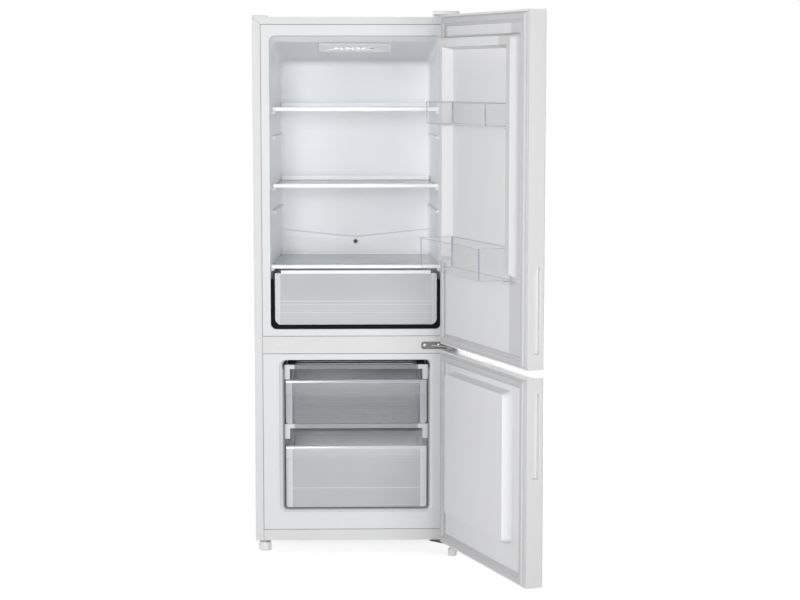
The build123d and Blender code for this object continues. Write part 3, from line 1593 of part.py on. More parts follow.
# ---------------------------------------------------------------- base pan: one bent sheet under
# the foam, up the front of the compressor bay and over it
with BuildPart() as base_pan:
    with BuildSketch(Plane.YZ.offset(left_x + sheet)):
        with BuildLine():
            Polyline(
                (front_y + rail_depth, pan_z),
                (bay_front_y, pan_z),
                (bay_front_y, bay_height),
                (back_y, bay_height),
                (back_y, bay_height + sheet),
                (bay_front_y - sheet, bay_height + sheet),
                (bay_front_y - sheet, pan_z + sheet),
                (front_y + rail_depth, pan_z + sheet),
                close=True,
            )
        make_face()
    extrude(amount=cabinet_width - 2 * sheet)
    add(drain_outside.part, mode=Mode.SUBTRACT)
    add(refrigerant_pipes.part, mode=Mode.SUBTRACT)
save(base_pan, "base_pan")

# ---------------------------------------------------------------- foam between the wrap, the back
# and the liners
with BuildPart() as cabinet_foam:
    block(
        (left_x + sheet, right_x - sheet), (face_back_y, back_y - sheet),
        (pan_z, cabinet_height - sheet),
    )
    block(
        (left_x, right_x), (bay_front_y - sheet, back_y), (0, bay_height + sheet),
        mode=Mode.SUBTRACT,
    )
    add(fridge_space(liner_wall), mode=Mode.SUBTRACT)
    add(freezer_space(liner_wall), mode=Mode.SUBTRACT)
    add(freezer_lip(liner_wall), mode=Mode.SUBTRACT)
    add(base_pan.part, mode=Mode.SUBTRACT)
    add(fridge_evaporator.part, mode=Mode.SUBTRACT)
    add(drain_outside.part, mode=Mode.SUBTRACT)
    add(hinge_screws.part, mode=Mode.SUBTRACT)
    add(refrigerant_pipes.part, mode=Mode.SUBTRACT)
    rod((foot_x, foot_y, pan_z), (foot_x, foot_y, left_stem_top_z + 2), 6.0, mode=Mode.SUBTRACT)
save(cabinet_foam, "cabinet_foam")
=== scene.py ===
import json
from math import atan2, cos, degrees, pi, radians, sin, sqrt

import bmesh
import bpy
from mathutils import Matrix, Vector

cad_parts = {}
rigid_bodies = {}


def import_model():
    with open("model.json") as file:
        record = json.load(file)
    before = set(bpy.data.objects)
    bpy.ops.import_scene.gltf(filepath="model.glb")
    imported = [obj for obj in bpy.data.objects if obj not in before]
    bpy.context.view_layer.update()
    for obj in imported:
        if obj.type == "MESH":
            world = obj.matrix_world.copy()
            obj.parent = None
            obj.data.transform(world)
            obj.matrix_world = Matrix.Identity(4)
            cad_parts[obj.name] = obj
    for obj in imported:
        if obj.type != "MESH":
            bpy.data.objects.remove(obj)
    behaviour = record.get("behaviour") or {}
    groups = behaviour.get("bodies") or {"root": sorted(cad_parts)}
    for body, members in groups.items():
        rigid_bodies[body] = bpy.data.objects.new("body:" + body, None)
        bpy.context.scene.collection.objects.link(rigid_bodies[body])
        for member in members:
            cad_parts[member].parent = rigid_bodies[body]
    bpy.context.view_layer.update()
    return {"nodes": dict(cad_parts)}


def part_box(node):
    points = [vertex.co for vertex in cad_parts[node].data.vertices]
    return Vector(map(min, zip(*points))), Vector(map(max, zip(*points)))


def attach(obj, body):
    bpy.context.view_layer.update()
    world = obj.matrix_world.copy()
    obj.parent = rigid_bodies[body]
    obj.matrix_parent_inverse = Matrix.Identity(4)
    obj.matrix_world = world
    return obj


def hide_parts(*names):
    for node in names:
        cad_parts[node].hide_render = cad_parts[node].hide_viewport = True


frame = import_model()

# ================================================ outer wrap
# The cabinet's sides and top: one sheet of steel, painted white and then bent to a U, with its front
# edge folded in. The paint is satin with a faint orange peel.
middle_x, half_cabinet, top_z = -0.26, 0.275, 1.45
hem_wide, hem_high, hem_front = 0.022, 0.019, (0.0412, 0.0405)
mitre_half, mitre_shade_depth = 0.0005, 0.45
weld = 2e-6  # metres, as all lengths here; points nearer than this are one point


def worked(tree, operation, first, second=None):
    """One step of arithmetic on sockets or numbers."""
    node = tree.nodes.new("ShaderNodeMath")
    node.operation = operation
    for place, value in enumerate((first, second)):
        if isinstance(value, (int, float)):
            node.inputs[place].default_value = value
        elif value is not None:
            tree.links.new(value, node.inputs[place])
    return node.outputs["Value"]


def times(tree, first, second):
    """The product of two sockets or numbers."""
    return worked(tree, "MULTIPLY", first, second)


def ramped(tree, value, start, end, first, last, kind="SMOOTHSTEP"):
    """A change from first to last while a value goes from start to end."""
    change = tree.nodes.new("ShaderNodeMapRange")
    change.interpolation_type = kind
    tree.links.new(value, change.inputs["Value"])
    for label, number in (
        ("From Min", start), ("From Max", end), ("To Min", first), ("To Max", last),
    ):
        change.inputs[label].default_value = number
    return change.outputs["Result"]


def placed(tree):
    """The three coordinates of a point of a piece, X from the cabinet's middle, all in metres."""
    place = tree.nodes.new("ShaderNodeTexCoord")
    axes = tree.nodes.new("ShaderNodeSeparateXYZ")
    tree.links.new(place.outputs["Object"], axes.inputs["Vector"])
    aside = worked(tree, "SUBTRACT", axes.outputs["X"], middle_x)
    return worked(tree, "ABSOLUTE", aside), axes.outputs["Y"], axes.outputs["Z"]


def clouded(tree, scale, detail):
    """A value that wanders through the piece."""
    place = tree.nodes.new("ShaderNodeTexCoord")
    noise = tree.nodes.new("ShaderNodeTexNoise")
    noise.inputs["Scale"].default_value = scale
    noise.inputs["Detail"].default_value = detail
    tree.links.new(place.outputs["Object"], noise.inputs["Vector"])
    return noise.outputs["Fac"]


def finish(name, colour, rough, grain, relief, drift=0.006, slow_scale=4.0, metallic=0.0, shine=0.5):
    """A finish: drifting colour, roughness between two values, and a relief of a given grain."""
    material = bpy.data.materials.new(name)
    material.use_nodes = True
    tree = material.node_tree
    shader = tree.nodes["Principled BSDF"]
    shader.inputs["Metallic"].default_value = metallic
    shader.inputs["Specular IOR Level"].default_value = shine
    slow = clouded(tree, slow_scale, 3.0)
    ramp = tree.nodes.new("ShaderNodeValToRGB")
    ramp.color_ramp.interpolation = "EASE"
    for place, at, change in ((0, 0.25, -drift), (1, 0.75, drift)):
        ramp.color_ramp.elements[place].position = at
        ramp.color_ramp.elements[place].color = (*[min(1, c * (1 + change)) for c in colour], 1)
    tree.links.new(slow, ramp.inputs["Fac"])
    tree.links.new(ramp.outputs["Color"], shader.inputs["Base Color"])
    tree.links.new(ramped(tree, slow, 0.25, 0.75, *rough), shader.inputs["Roughness"])
    bump = tree.nodes.new("ShaderNodeBump")
    bump.name = "Relief"
    bump.inputs["Strength"].default_value = 1.0
    bump.inputs["Distance"].default_value = relief
    tree.links.new(clouded(tree, 1.0 / grain, 2.0), bump.inputs["Height"])
    tree.links.new(bump.outputs["Normal"], shader.inputs["Normal"])
    return material


def darkened(tree, left):
    """Multiplies a finish's colour by the part of it that a shade leaves."""
    colour = tree.nodes["Principled BSDF"].inputs["Base Color"]
    scaled = tree.nodes.new("ShaderNodeVectorMath")
    scaled.operation = "SCALE"
    tree.links.new(colour.links[0].from_socket, scaled.inputs[0])
    tree.links.new(left, scaled.inputs["Scale"])
    tree.links.new(scaled.outputs[0], colour)


def stands_for(piece, node, *materials):
    """Hangs a finished piece on its node's body in that node's place."""
    if piece.data.materials:
        piece.data.materials.clear()
    for material in materials:
        piece.data.materials.append(material)
    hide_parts(node)
    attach(piece, frame["nodes"][node].parent.name.removeprefix("body:"))


def set_out(name, data):
    """Puts a mesh, a lamp or a camera in the scene as an object."""
    thing = bpy.data.objects.new(name, data)
    bpy.context.scene.collection.objects.link(thing)
    return thing


def settled(name, shape):
    """Makes a mesh of a bmesh."""
    mesh = bpy.data.meshes.new(name)
    shape.to_mesh(mesh)
    shape.free()
    return mesh


def smoothed(mesh, angle):
    """Shades a mesh smooth, but for the edges that turn by more than an angle."""
    mesh.shade_smooth()
    mesh.set_sharp_from_angle(angle=radians(angle))
    return mesh


def eased(node, material, width, edge=None, angle=40.0, corner_turn=None):
    """A copy of a node's mesh, merged, with its sharp edges rounded off by width metres. With a
    corner_turn, its upright round corners get the edge finish too."""
    shape = bmesh.new()
    shape.from_mesh(frame["nodes"][node].data)
    bmesh.ops.remove_doubles(shape, verts=shape.verts, dist=weld)
    bmesh.ops.dissolve_limit(
        shape, angle_limit=radians(0.6), verts=shape.verts, edges=shape.edges
    )
    if corner_turn is not None:
        shape.normal_update()
        for face in shape.faces:
            heading = (degrees(atan2(face.normal.y, face.normal.x)) - corner_turn) % 90
            if abs(face.normal.z) < 0.1 and 34 < heading < 56:
                face.material_index = 1
    name = f"{node}_eased"
    piece = set_out(name, smoothed(settled(name, shape), angle))
    bevel = piece.modifiers.new("eased edges", "BEVEL")
    bevel.width = width
    bevel.segments = 2
    bevel.limit_method = "ANGLE"
    bevel.angle_limit = radians(angle)
    bevel.use_clamp_overlap = True
    bevel.harden_normals = True
    if edge:
        stands_for(piece, node, material, edge)
        bevel.material = 1
    else:
        stands_for(piece, node, material)


white_paint, wrap_paint = [
    finish(name, (0.665, 0.665, 0.67), (0.42, 0.5), 0.0024, 0.000015, shine=0.2)
    for name in ("white paint", "wrap paint")
]
# a painted shade along the line where the folded edge is mitred, at the two upper corners of the
# front
wrap_tree = wrap_paint.node_tree
wrap_aside, wrap_y, wrap_z = placed(wrap_tree)
in_from_side = worked(wrap_tree, "SUBTRACT", half_cabinet, wrap_aside)
down_from_top = worked(wrap_tree, "SUBTRACT", top_z, wrap_z)
past_mitre = worked(
    wrap_tree, "SUBTRACT", times(wrap_tree, in_from_side, hem_high / hem_wide), down_from_top
)
off_mitre = worked(wrap_tree, "ABSOLUTE", past_mitre)
mitre = ramped(wrap_tree, off_mitre, mitre_half, 2 * mitre_half, mitre_shade_depth, 0.0)
on_front = ramped(wrap_tree, wrap_y, *hem_front, 0.0, 1.0)
darkened(wrap_tree, worked(wrap_tree, "SUBTRACT", 1.0, times(wrap_tree, mitre, on_front)))
eased("outer_wrap", wrap_paint, 0.0003)

# ================================================ strip and rail of the front
# Two pressed steel strips close the front between the compartments and under the freezer. They are
# painted as the wrap is, pushed in between its folded edges and screwed through.
for strip in ("mullion_trim", "front_base_rail"):
    eased(strip, white_paint, 0.0006)

# ================================================ cabinet linings
# Each compartment is lined with one vacuum formed sheet of white polystyrene, faintly blue. The
# fridge's back wall has a shallow V shaped gutter that leads its thaw water to the drain.


def toned(material, *shades):
    """Darkens a finish. A shade is (amount, band, ...): it acts where all its bands reach one,
    and a band is (axis, start, end)."""
    tree = material.node_tree
    spots = placed(tree)
    tone = 1.0
    for amount, *bands in shades:
        reach = amount
        for axis, start, end in bands:
            band = ramped(tree, spots["XYZ".index(axis)], start, end, 0.0, 1.0)
            reach = times(tree, band, reach)
        tone = times(tree, worked(tree, "SUBTRACT", 1.0, reach), tone)
    darkened(tree, tone)


def dress(material, *nodes):
    """Gives CAD nodes, as they are, a finish."""
    for node in nodes:
        for place in frame["nodes"][node].material_slots:
            place.material = material


liner_plastic = finish(
    "freezer liner plastic", (0.9, 0.91, 0.925), (0.36, 0.46), 0.03, 0.00002, slow_scale=3.0,
    shine=0.25,
)
painted_rim_shade = (0.24, ("Y", 0.05, 0.042))  # a painted shade: the rim darker than the inside
seam_aside = (0.42, ("X", 0.2508, 0.2516))  # shade in the seam beside the steel
past_rim, near_front = ("Y", 0.045, 0.05), ("Y", 0.14, 0.11)
toned(
    liner_plastic, painted_rim_shade, seam_aside,
    (0.42, ("Z", 0.547, 0.5478)), (0.42, ("Z", 0.067, 0.0662)),  # painted shade in the seams over and under the rim
    (0.85, past_rim, ("Z", 0.5, 0.515)),  # under the ceiling, which no light reaches
    (0.7, ("X", 0.19, 0.1925), past_rim, near_front),  # painted shade in the gaps beside the drawers
    (0.6, ("Z", 0.124, 0.1215), past_rim, near_front),  # painted shade in the gap under the drawers
)
dress(liner_plastic, "freezer_liner")
gutter_liner = finish(
    "fridge liner plastic", (0.88, 0.895, 0.915), (0.36, 0.46), 0.03, 0.00002, slow_scale=3.0,
    shine=0.25,
)
toned(
    gutter_liner, painted_rim_shade, seam_aside,
    (0.5, ("Z", 1.4286, 1.4294)), (0.42, ("Z", 0.598, 0.5972)),  # painted shade in the seams over and under the rim
    (0.12, ("Y", 0.3, 0.44), ("Z", 1.2, 1.36)),  # painted shade in the upper back corner
)
gutter_low_z, gutter_rise, back_wall_y = 0.8335, 0.1, 0.43
gutter_half_width, gutter_depth = 0.0022, 0.0016
gutter_tree = gutter_liner.node_tree
gutter_aside, gutter_y, gutter_z = placed(gutter_tree)
gutter_line = worked(
    gutter_tree, "ADD", times(gutter_tree, gutter_aside, gutter_rise), gutter_low_z
)
gutter_off = worked(
    gutter_tree, "ABSOLUTE", worked(gutter_tree, "SUBTRACT", gutter_z, gutter_line)
)
gutter_dip = times(
    gutter_tree, ramped(gutter_tree, gutter_off, 0.0, gutter_half_width, -1.0, 0.0),
    worked(gutter_tree, "GREATER_THAN", gutter_y, back_wall_y),
)
gutter_relief = gutter_tree.nodes.new("ShaderNodeBump")
gutter_relief.inputs["Distance"].default_value = gutter_depth
for start, end in (
    (gutter_dip, gutter_relief.inputs["Height"]),
    (gutter_tree.nodes["Relief"].outputs["Normal"], gutter_relief.inputs["Normal"]),
    (gutter_relief.outputs["Normal"], gutter_tree.nodes["Principled BSDF"].inputs["Normal"]),
):
    gutter_tree.links.new(start, end)
dress(gutter_liner, "fridge_liner")

# ================================================ foam
# Rigid polyurethane foam, pale yellow with closed cells. It is blown as a liquid between the steel
# and the linings of the cabinet and of both doors, and sets there.
foam_fill = finish("foam", (0.82, 0.74, 0.5), (0.8, 0.95), 0.0012, 0.0006, drift=0.08)
toned(foam_fill, (0.8, ("Y", 0.06, 0.044)))  # painted shade where the foam shows behind the seams of the front
dress(foam_fill, "cabinet_foam", "fridge_door_foam", "freezer_door_foam")

# ================================================ back panel, base pan and rail
# Zinc coated steel sheet, unpainted, with the spangle that the zinc leaves as it cools. The panel is
# clipped in behind the foam and the rail carries the compressor and the rear rollers.
zinc_sheet = finish(
    "zinc coated steel", (0.42, 0.44, 0.46), (0.4, 0.55), 0.0015, 0.00002, metallic=0.7
)
zinc_tree = zinc_sheet.node_tree
spangle_place = zinc_tree.nodes.new("ShaderNodeTexCoord")
spangle = zinc_tree.nodes.new("ShaderNodeTexVoronoi")
spangle.inputs["Scale"].default_value = 70.0
spangle_shade = zinc_tree.nodes.new("ShaderNodeValToRGB")
spangle_shade.color_ramp.elements[0].color = (0.36, 0.375, 0.39, 1)
spangle_shade.color_ramp.elements[1].color = (0.5, 0.515, 0.53, 1)
for start, end in (
    (spangle_place.outputs["Object"], spangle.inputs["Vector"]),
    (spangle.outputs["Color"], spangle_shade.inputs["Fac"]),
    (spangle_shade.outputs["Color"], zinc_tree.nodes["Principled BSDF"].inputs["Base Color"]),
):
    zinc_tree.links.new(start, end)
for sheet in ("rear_panel", "base_pan", "compressor_rail"):
    eased(sheet, zinc_sheet, 0.0003)

# ================================================ hinges and their screws
# The middle hinge is coated steel plate, bent and pierced. The top one is painted white under a cover
# and the bottom one black. Pan head screws with a cross recess hold all three.
hinge_steel = finish("hinge steel", (0.3, 0.3, 0.305), (0.35, 0.5), 0.0012, 0.00003, metallic=0.5)
toned(hinge_steel, (0.62, ("Y", 0.030, 0.0365)))  # painted shade: its plate darker than its arm, though both are the same steel
eased("mid_hinge", hinge_steel, 0.0006)
hinge_paint = finish("hinge paint", (0.72, 0.72, 0.71), (0.3, 0.4), 0.002, 0.00002)
eased("top_hinge", hinge_paint, 0.0005)
black_paint = finish("black paint", (0.03, 0.03, 0.032), (0.32, 0.45), 0.002, 0.00003)
eased("bottom_hinge", black_paint, 0.0006)
bright_zinc = finish("bright zinc", (0.62, 0.63, 0.64), (0.28, 0.4), 0.001, 0.00001, metallic=0.9)


def new_tree(name, inputs):
    """An empty tree with named inputs, and the sockets that give them."""
    tree = bpy.data.node_groups.new(name, "GeometryNodeTree")
    tree.interface.new_socket("Geometry", in_out="INPUT", socket_type="NodeSocketGeometry")
    for label, kind in inputs.items():
        tree.interface.new_socket(label, in_out="INPUT", socket_type=f"NodeSocket{kind}")
    tree.interface.new_socket("Geometry", in_out="OUTPUT", socket_type="NodeSocketGeometry")
    return tree, tree.nodes.new("NodeGroupInput").outputs


def step(tree, kind, **values):
    """Adds a node: capital names are its sockets, the rest its settings. Returns its first output."""
    node = tree.nodes.new(kind)
    for label in sorted(values, key=lambda word: word[0].isupper()):
        value = values[label]
        if not label[0].isupper():
            setattr(node, label, value)
            continue
        socket = next(s for s in node.inputs if s.name == label.replace("_", " ") and s.enabled)
        if isinstance(value, bpy.types.NodeSocket):
            tree.links.new(value, socket)
        else:
            socket.default_value = value
    return node.outputs[0]


def joined(tree, *parts):
    """Joins geometries in a tree."""
    node = tree.nodes.new("GeometryNodeJoinGeometry")
    for part in reversed(parts):
        tree.links.new(part, node.inputs[0])
    return node.outputs[0]


def closed_tree(tree, geometry, finish_socket):
    """Ends a tree: instances made real, and the finish set."""
    real = step(tree, "GeometryNodeRealizeInstances", Geometry=geometry)
    coated = step(tree, "GeometryNodeSetMaterial", Geometry=real, Material=finish_socket)
    tree.links.new(coated, tree.nodes.new("NodeGroupOutput").inputs[0])


def grown(name, start, tree, **settings):
    """Runs a tree on a starting mesh, and keeps what it makes as a plain mesh."""
    source = set_out(f"{name}_start", start)
    maker = source.modifiers.new("maker", "NODES")
    maker.node_group = tree
    for socket in tree.interface.items_tree:
        value = settings.get(socket.name.replace(" ", "_"))
        if socket.in_out == "INPUT" and value is not None:
            maker[socket.identifier] = value
    made = source.evaluated_get(bpy.context.evaluated_depsgraph_get())
    mesh = bpy.data.meshes.new_from_object(made)
    mesh.name = name
    source.modifiers.remove(maker)
    bpy.data.objects.remove(source)
    return set_out(name, smoothed(mesh, 40))


def marks(name, places):
    """Points with the way that each looks, for a tree to set pieces on."""
    mesh = bpy.data.meshes.new(name)
    mesh.from_pydata([place for place, _ in places], [], [])
    way = mesh.attributes.new("way", "FLOAT_VECTOR", "POINT")
    for n, (_, towards) in enumerate(places):
        way.data[n].vector = towards
    return mesh


def vector_of(tree, x=0.0, y=0.0, z=0.0):
    """A vector of sockets or numbers."""
    return step(tree, "ShaderNodeCombineXYZ", X=x, Y=y, Z=z)


def rod_of(tree, sides, radius, length, side):
    """A rod along Z that starts at the origin: side is 0.5 for one that goes up, -0.5 for down."""
    rod = step(tree, "GeometryNodeMeshCylinder", Vertices=sides, Radius=radius, Depth=length)
    middle = vector_of(tree, z=times(tree, length, side))
    return step(tree, "GeometryNodeTransform", Geometry=rod, Translation=middle)


def set_on_marks(tree, points, piece):
    """Sets a piece on every mark, with its Z along the mark's way."""
    way = step(tree, "GeometryNodeInputNamedAttribute", data_type="FLOAT_VECTOR", Name="way")
    turn = step(tree, "FunctionNodeAlignRotationToVector", axis="Z", Vector=way)
    return step(
        tree, "GeometryNodeInstanceOnPoints", Points=points, Instance=piece, Rotation=turn
    )


screw_tree, given = new_tree("cross recess screws", {
    "Head radius": "Float", "Head height": "Float", "Slot width": "Float",
    "Slot length": "Float", "Slot depth": "Float", "Shank radius": "Float",
    "Shank length": "Float", "Finish": "Material",
})
screw_ball = step(
    screw_tree, "GeometryNodeMeshUVSphere", Segments=24, Rings=12, Radius=given["Head radius"]
)
screw_squash = worked(screw_tree, "DIVIDE", given["Head height"], given["Head radius"])
screw_head = step(
    screw_tree, "GeometryNodeTransform", Geometry=screw_ball,
    Scale=vector_of(screw_tree, 1.0, 1.0, screw_squash),
)
slot_height = times(screw_tree, given["Slot depth"], 2.0)
screw_cut = screw_tree.nodes.new("GeometryNodeMeshBoolean")
screw_cut.operation = "DIFFERENCE"
screw_tree.links.new(screw_head, screw_cut.inputs[0])
slot_sides = (given["Slot length"], given["Slot width"])
for across in (slot_sides, slot_sides[::-1]):
    bar = step(screw_tree, "GeometryNodeMeshCube", Size=vector_of(screw_tree, *across, slot_height))
    slot = step(
        screw_tree, "GeometryNodeTransform", Geometry=bar,
        Translation=vector_of(screw_tree, z=given["Head height"]),
    )
    screw_tree.links.new(slot, screw_cut.inputs[1])
screw_shank = rod_of(screw_tree, 12, given["Shank radius"], given["Shank length"], -0.5)
screw_clean = step(
    screw_tree, "GeometryNodeMergeByDistance", Geometry=screw_cut.outputs[0], Distance=0.00002
)
whole_screw = joined(screw_tree, screw_clean, screw_shank)
closed_tree(
    screw_tree, set_on_marks(screw_tree, given["Geometry"], whole_screw), given["Finish"]
)
screw_places = (
    ((-0.0365, 0.037, 0.5715), (0, -1, 0)),
    ((-0.0745, 0.037, 0.5715), (0, -1, 0)),
    ((-0.014, 0.084, 0.031), (0, 0, -1)),
    ((-0.046, 0.084, 0.031), (0, 0, -1)),
    ((-0.026, 0.092, 1.453), (0, 0, 1)),
    ((-0.012, 0.062, 1.453), (0, 0, 1)),
    ((-0.040, 0.062, 1.453), (0, 0, 1)),
)
hinge_screws = grown(
    "cross_recess_screws", marks("screw marks", screw_places), screw_tree, Head_radius=0.0048,
    Head_height=0.0029, Slot_width=0.0012, Slot_length=0.0054, Slot_depth=0.0016,
    Shank_radius=0.0024, Shank_length=0.0155, Finish=bright_zinc,
)
stands_for(hinge_screws, "hinge_screws", bright_zinc)

# ================================================ covers, plugs and caps
# Small white mouldings, satin, pressed or clipped in place: the top hinge's cover, the plugs over the
# spare hinge holes, and the end caps of the doors.
white_moulding = finish("white moulding", (0.76, 0.76, 0.765), (0.36, 0.46), 0.0009, 0.000015)
for moulding in ("top_hinge_cover", "fridge_door_caps", "freezer_door_caps"):
    eased(moulding, white_moulding, 0.0005)
plug_plastic = finish("plug plastic", (0.69, 0.69, 0.695), (0.4, 0.5), 0.0009, 0.00001, shine=0.2)
eased("hinge_hole_plugs", plug_plastic, 0.0005)

# ================================================ front feet
# Two white screw feet carry the front. Each is a turned disc with a ribbed rim for the fingers, on a
# threaded stem.


def skinned(shape, rings, capped=True):
    """Joins each ring of points to the next, and caps the ends or joins the last to the first."""
    for ring, following in zip(rings, rings[1:] if capped else rings[1:] + rings[:1]):
        for n in range(len(ring)):
            m = (n + 1) % len(ring)
            shape.faces.new((ring[n], ring[m], following[m], following[n]))
    if capped:
        shape.faces.new(rings[0][::-1])
        shape.faces.new(rings[-1])


def spun(shape, profile, centre, along, sides=40):
    """Adds a closed solid of revolution: profile of (radius, height) along an axis from a centre."""
    turn = Vector((0, 0, 1)).rotation_difference(Vector(along)).to_matrix()
    rings = []
    for radius, height in profile:
        ring = []
        for n in range(sides):
            angle = 2 * pi * n / sides
            spot = Vector((radius * cos(angle), radius * sin(angle), height))
            ring.append(shape.verts.new(Vector(centre) + turn @ spot))
        rings.append(ring)
    skinned(shape, rings)


rib_tree, given = new_tree("ribs round a rim", {
    "Count": "Int", "Rim radius": "Float", "Rib radius": "Float", "Rib length": "Float",
    "Turn": "Vector", "Centre": "Vector", "Finish": "Material",
})
rib_rim = step(
    rib_tree, "GeometryNodeMeshCircle", Vertices=given["Count"], Radius=given["Rim radius"]
)
rib_rod = step(
    rib_tree, "GeometryNodeMeshCylinder", Vertices=8, Radius=given["Rib radius"],
    Depth=given["Rib length"],
)
rib_ring = step(rib_tree, "GeometryNodeInstanceOnPoints", Points=rib_rim, Instance=rib_rod)
rib_set = step(
    rib_tree, "GeometryNodeTransform", Geometry=rib_ring, Rotation=given["Turn"],
    Translation=given["Centre"],
)
closed_tree(rib_tree, joined(rib_tree, given["Geometry"], rib_set), given["Finish"])


def screw_foot(node, radius, height, rib_count):
    """A foot: a disc with rounded edges and a ribbed rim, a collar, and a stem with a thread."""
    low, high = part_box(node)
    centre = ((low[0] + high[0]) / 2, (low[1] + high[1]) / 2, 0.0)
    rib, root, crest, pitch = 0.0006, 0.0034, 0.0040, 0.001
    rim = radius - rib
    profile = [(rim - 0.002, 0.0), (rim - 0.0006, 0.0006), (rim, 0.002), (rim, height - 0.002)]
    profile += [(rim - 0.0008, height - 0.0005), (rim - 0.0025, height), (0.0062, height)]
    profile += [(0.0058, height + 0.0016)]
    thread = height + 0.0018
    while thread < high[2] - 0.0012:
        profile += [(root, thread), (crest, thread + pitch / 2)]
        thread += pitch
    profile += [(root, high[2])]
    shape = bmesh.new()
    spun(shape, profile, centre, (0, 0, 1))
    bmesh.ops.recalc_face_normals(shape, faces=shape.faces)
    foot = grown(
        f"{node}_ribbed", settled(f"{node}_start", shape), rib_tree, Count=rib_count,
        Rim_radius=rim, Rib_radius=rib, Rib_length=height - 0.005, Turn=(0.0, 0.0, 0.0),
        Centre=(centre[0], centre[1], height / 2), Finish=white_moulding,
    )
    stands_for(foot, node, white_moulding)


screw_foot("front_left_foot", 0.017, 0.024, 36)
screw_foot("hinge_side_foot", 0.012, 0.020, 28)

# ================================================ doors
# Each door is a painted steel skin bent round its sides and filled with foam behind a formed lining.
# The grip is a moulded strip let into the free side.
for skin in ("fridge_door_skin", "freezer_door_skin"):
    eased(skin, white_paint, 0.0003)
door_lining = finish(
    "door lining", (0.76, 0.762, 0.77), (0.45, 0.55), 0.03, 0.00002, slow_scale=3.0, shine=0.2
)
dress(door_lining, "freezer_door_liner")
ribbed_lining = finish(
    "ribbed door lining", (0.76, 0.762, 0.77), (0.5, 0.6), 0.03, 0.00002, slow_scale=3.0,
    shine=0.12,
)
toned(ribbed_lining, (0.17, ("Y", -0.405, -0.42)))  # painted shade on the free side, which faces away from the light
dress(ribbed_lining, "fridge_door_liner")
grip_plastic = finish("grip plastic", (0.77, 0.77, 0.77), (0.4, 0.5), 0.0009, 0.00001, shine=0.3)
for grip in ("fridge_door_grip", "freezer_door_grip"):
    eased(grip, grip_plastic, 0.0004, angle=12.0)

# ================================================ door gaskets
# Extruded white vinyl, mitred and welded at the corners: a foot in the lining's groove, soft bellows,
# and a flat head with the magnet strip that meets the cabinet.
gasket_vinyl = finish("gasket vinyl", (0.57, 0.57, 0.58), (0.5, 0.62), 0.003, 0.00002, shine=0.3)
door_opening = 110.0  # degrees, as in the photograph
door_turn = Matrix.Rotation(radians(door_opening), 3, "Z")
gasket_far_x = -530.0  # the section, and this, in millimetres of the shut door
gasket_section = (
    (0.0, 30.1), (1.0, 31.6), (4.0, 33.0), (2.0, 34.6), (5.0, 36.2), (5.0, 39.0), (5.7, 39.7),
    (17.3, 39.7), (18.0, 39.0), (18.0, 36.4), (22.5, 34.8), (19.5, 33.2), (25.0, 31.8), (26.0, 30.1),
)


def solid_piece(name, shape, angle=35.0):
    """Closes a bmesh, turns its faces outwards and makes it an object with sharp edges kept."""
    bmesh.ops.remove_doubles(shape, verts=shape.verts, dist=weld)
    bmesh.ops.recalc_face_normals(shape, faces=shape.faces)
    return set_out(name, smoothed(settled(name, shape), angle))


def bellows(node, low_z, high_z):
    """One gasket: its section carried round the door's edge, mitred at four corners."""
    shape = bmesh.new()
    loops = []
    for x, z, in_x, in_z in (
        (gasket_far_x, low_z, 1, 1), (0.0, low_z, -1, 1), (0.0, high_z, -1, -1),
        (gasket_far_x, high_z, 1, -1),
    ):
        loops.append([
            shape.verts.new(door_turn @ Vector((x + in_x * inset, y, z + in_z * inset)) / 1000)
            for inset, y in gasket_section
        ])
    skinned(shape, loops, capped=False)
    piece = solid_piece(f"{node}_bellows", shape, angle=20)
    stands_for(piece, node, gasket_vinyl)


bellows("fridge_door_gasket", 585.0, 1449.0)
bellows("freezer_door_gasket", 43.0, 558.0)

# ================================================ door bins
# Two bins moulded in clear styrene with a cool tint. The sheet hides little, and its rims and corners
# show as fine darker lines where one looks along the wall.


def see_through(name, colour, rough, face_on, edge_on, relief, *bands, shine=0.5, level_lines=()):
    """A clear sheet that hides more edge on. Bands (axis, start, end, alpha) hide more, and so do
    level lines (height, half width, alpha)."""
    material = finish(name, colour, rough, 0.03, relief, shine=shine)
    tree = material.node_tree
    slant = tree.nodes.new("ShaderNodeLayerWeight")
    slant.inputs["Blend"].default_value = 0.3
    hidden = ramped(tree, slant.outputs["Facing"], 0.0, 1.0, face_on, edge_on, kind="LINEAR")
    spots = placed(tree)
    for axis, start, end, alpha in bands:
        band = ramped(tree, spots["XYZ".index(axis)], start, end, 0.0, alpha)
        hidden = worked(tree, "MAXIMUM", hidden, band)
    for height, half_width, alpha in level_lines:
        off = worked(tree, "ABSOLUTE", worked(tree, "SUBTRACT", spots[2], height))
        hidden = worked(tree, "MAXIMUM", hidden, ramped(tree, off, half_width, 0.0, 0.0, alpha))
    tree.links.new(hidden, tree.nodes["Principled BSDF"].inputs["Alpha"])
    return material


def rim_line(name, colour, alpha):
    """The rounded rim or corner of a clear sheet, where more of it is looked through."""
    material = finish(name, colour, (0.15, 0.22), 0.01, 0.00001)
    material.node_tree.nodes["Principled BSDF"].inputs["Alpha"].default_value = alpha
    return material


bin_plastic = see_through("bin plastic", (0.86, 0.88, 0.92), (0.08, 0.14), 0.02, 0.08, 0.00002)
bin_rim = rim_line("bin rim", (0.26, 0.275, 0.38), 0.5)
for door_bin in ("upper_door_bin", "lower_door_bin"):
    eased(door_bin, bin_plastic, 0.0009, edge=bin_rim, corner_turn=door_opening)

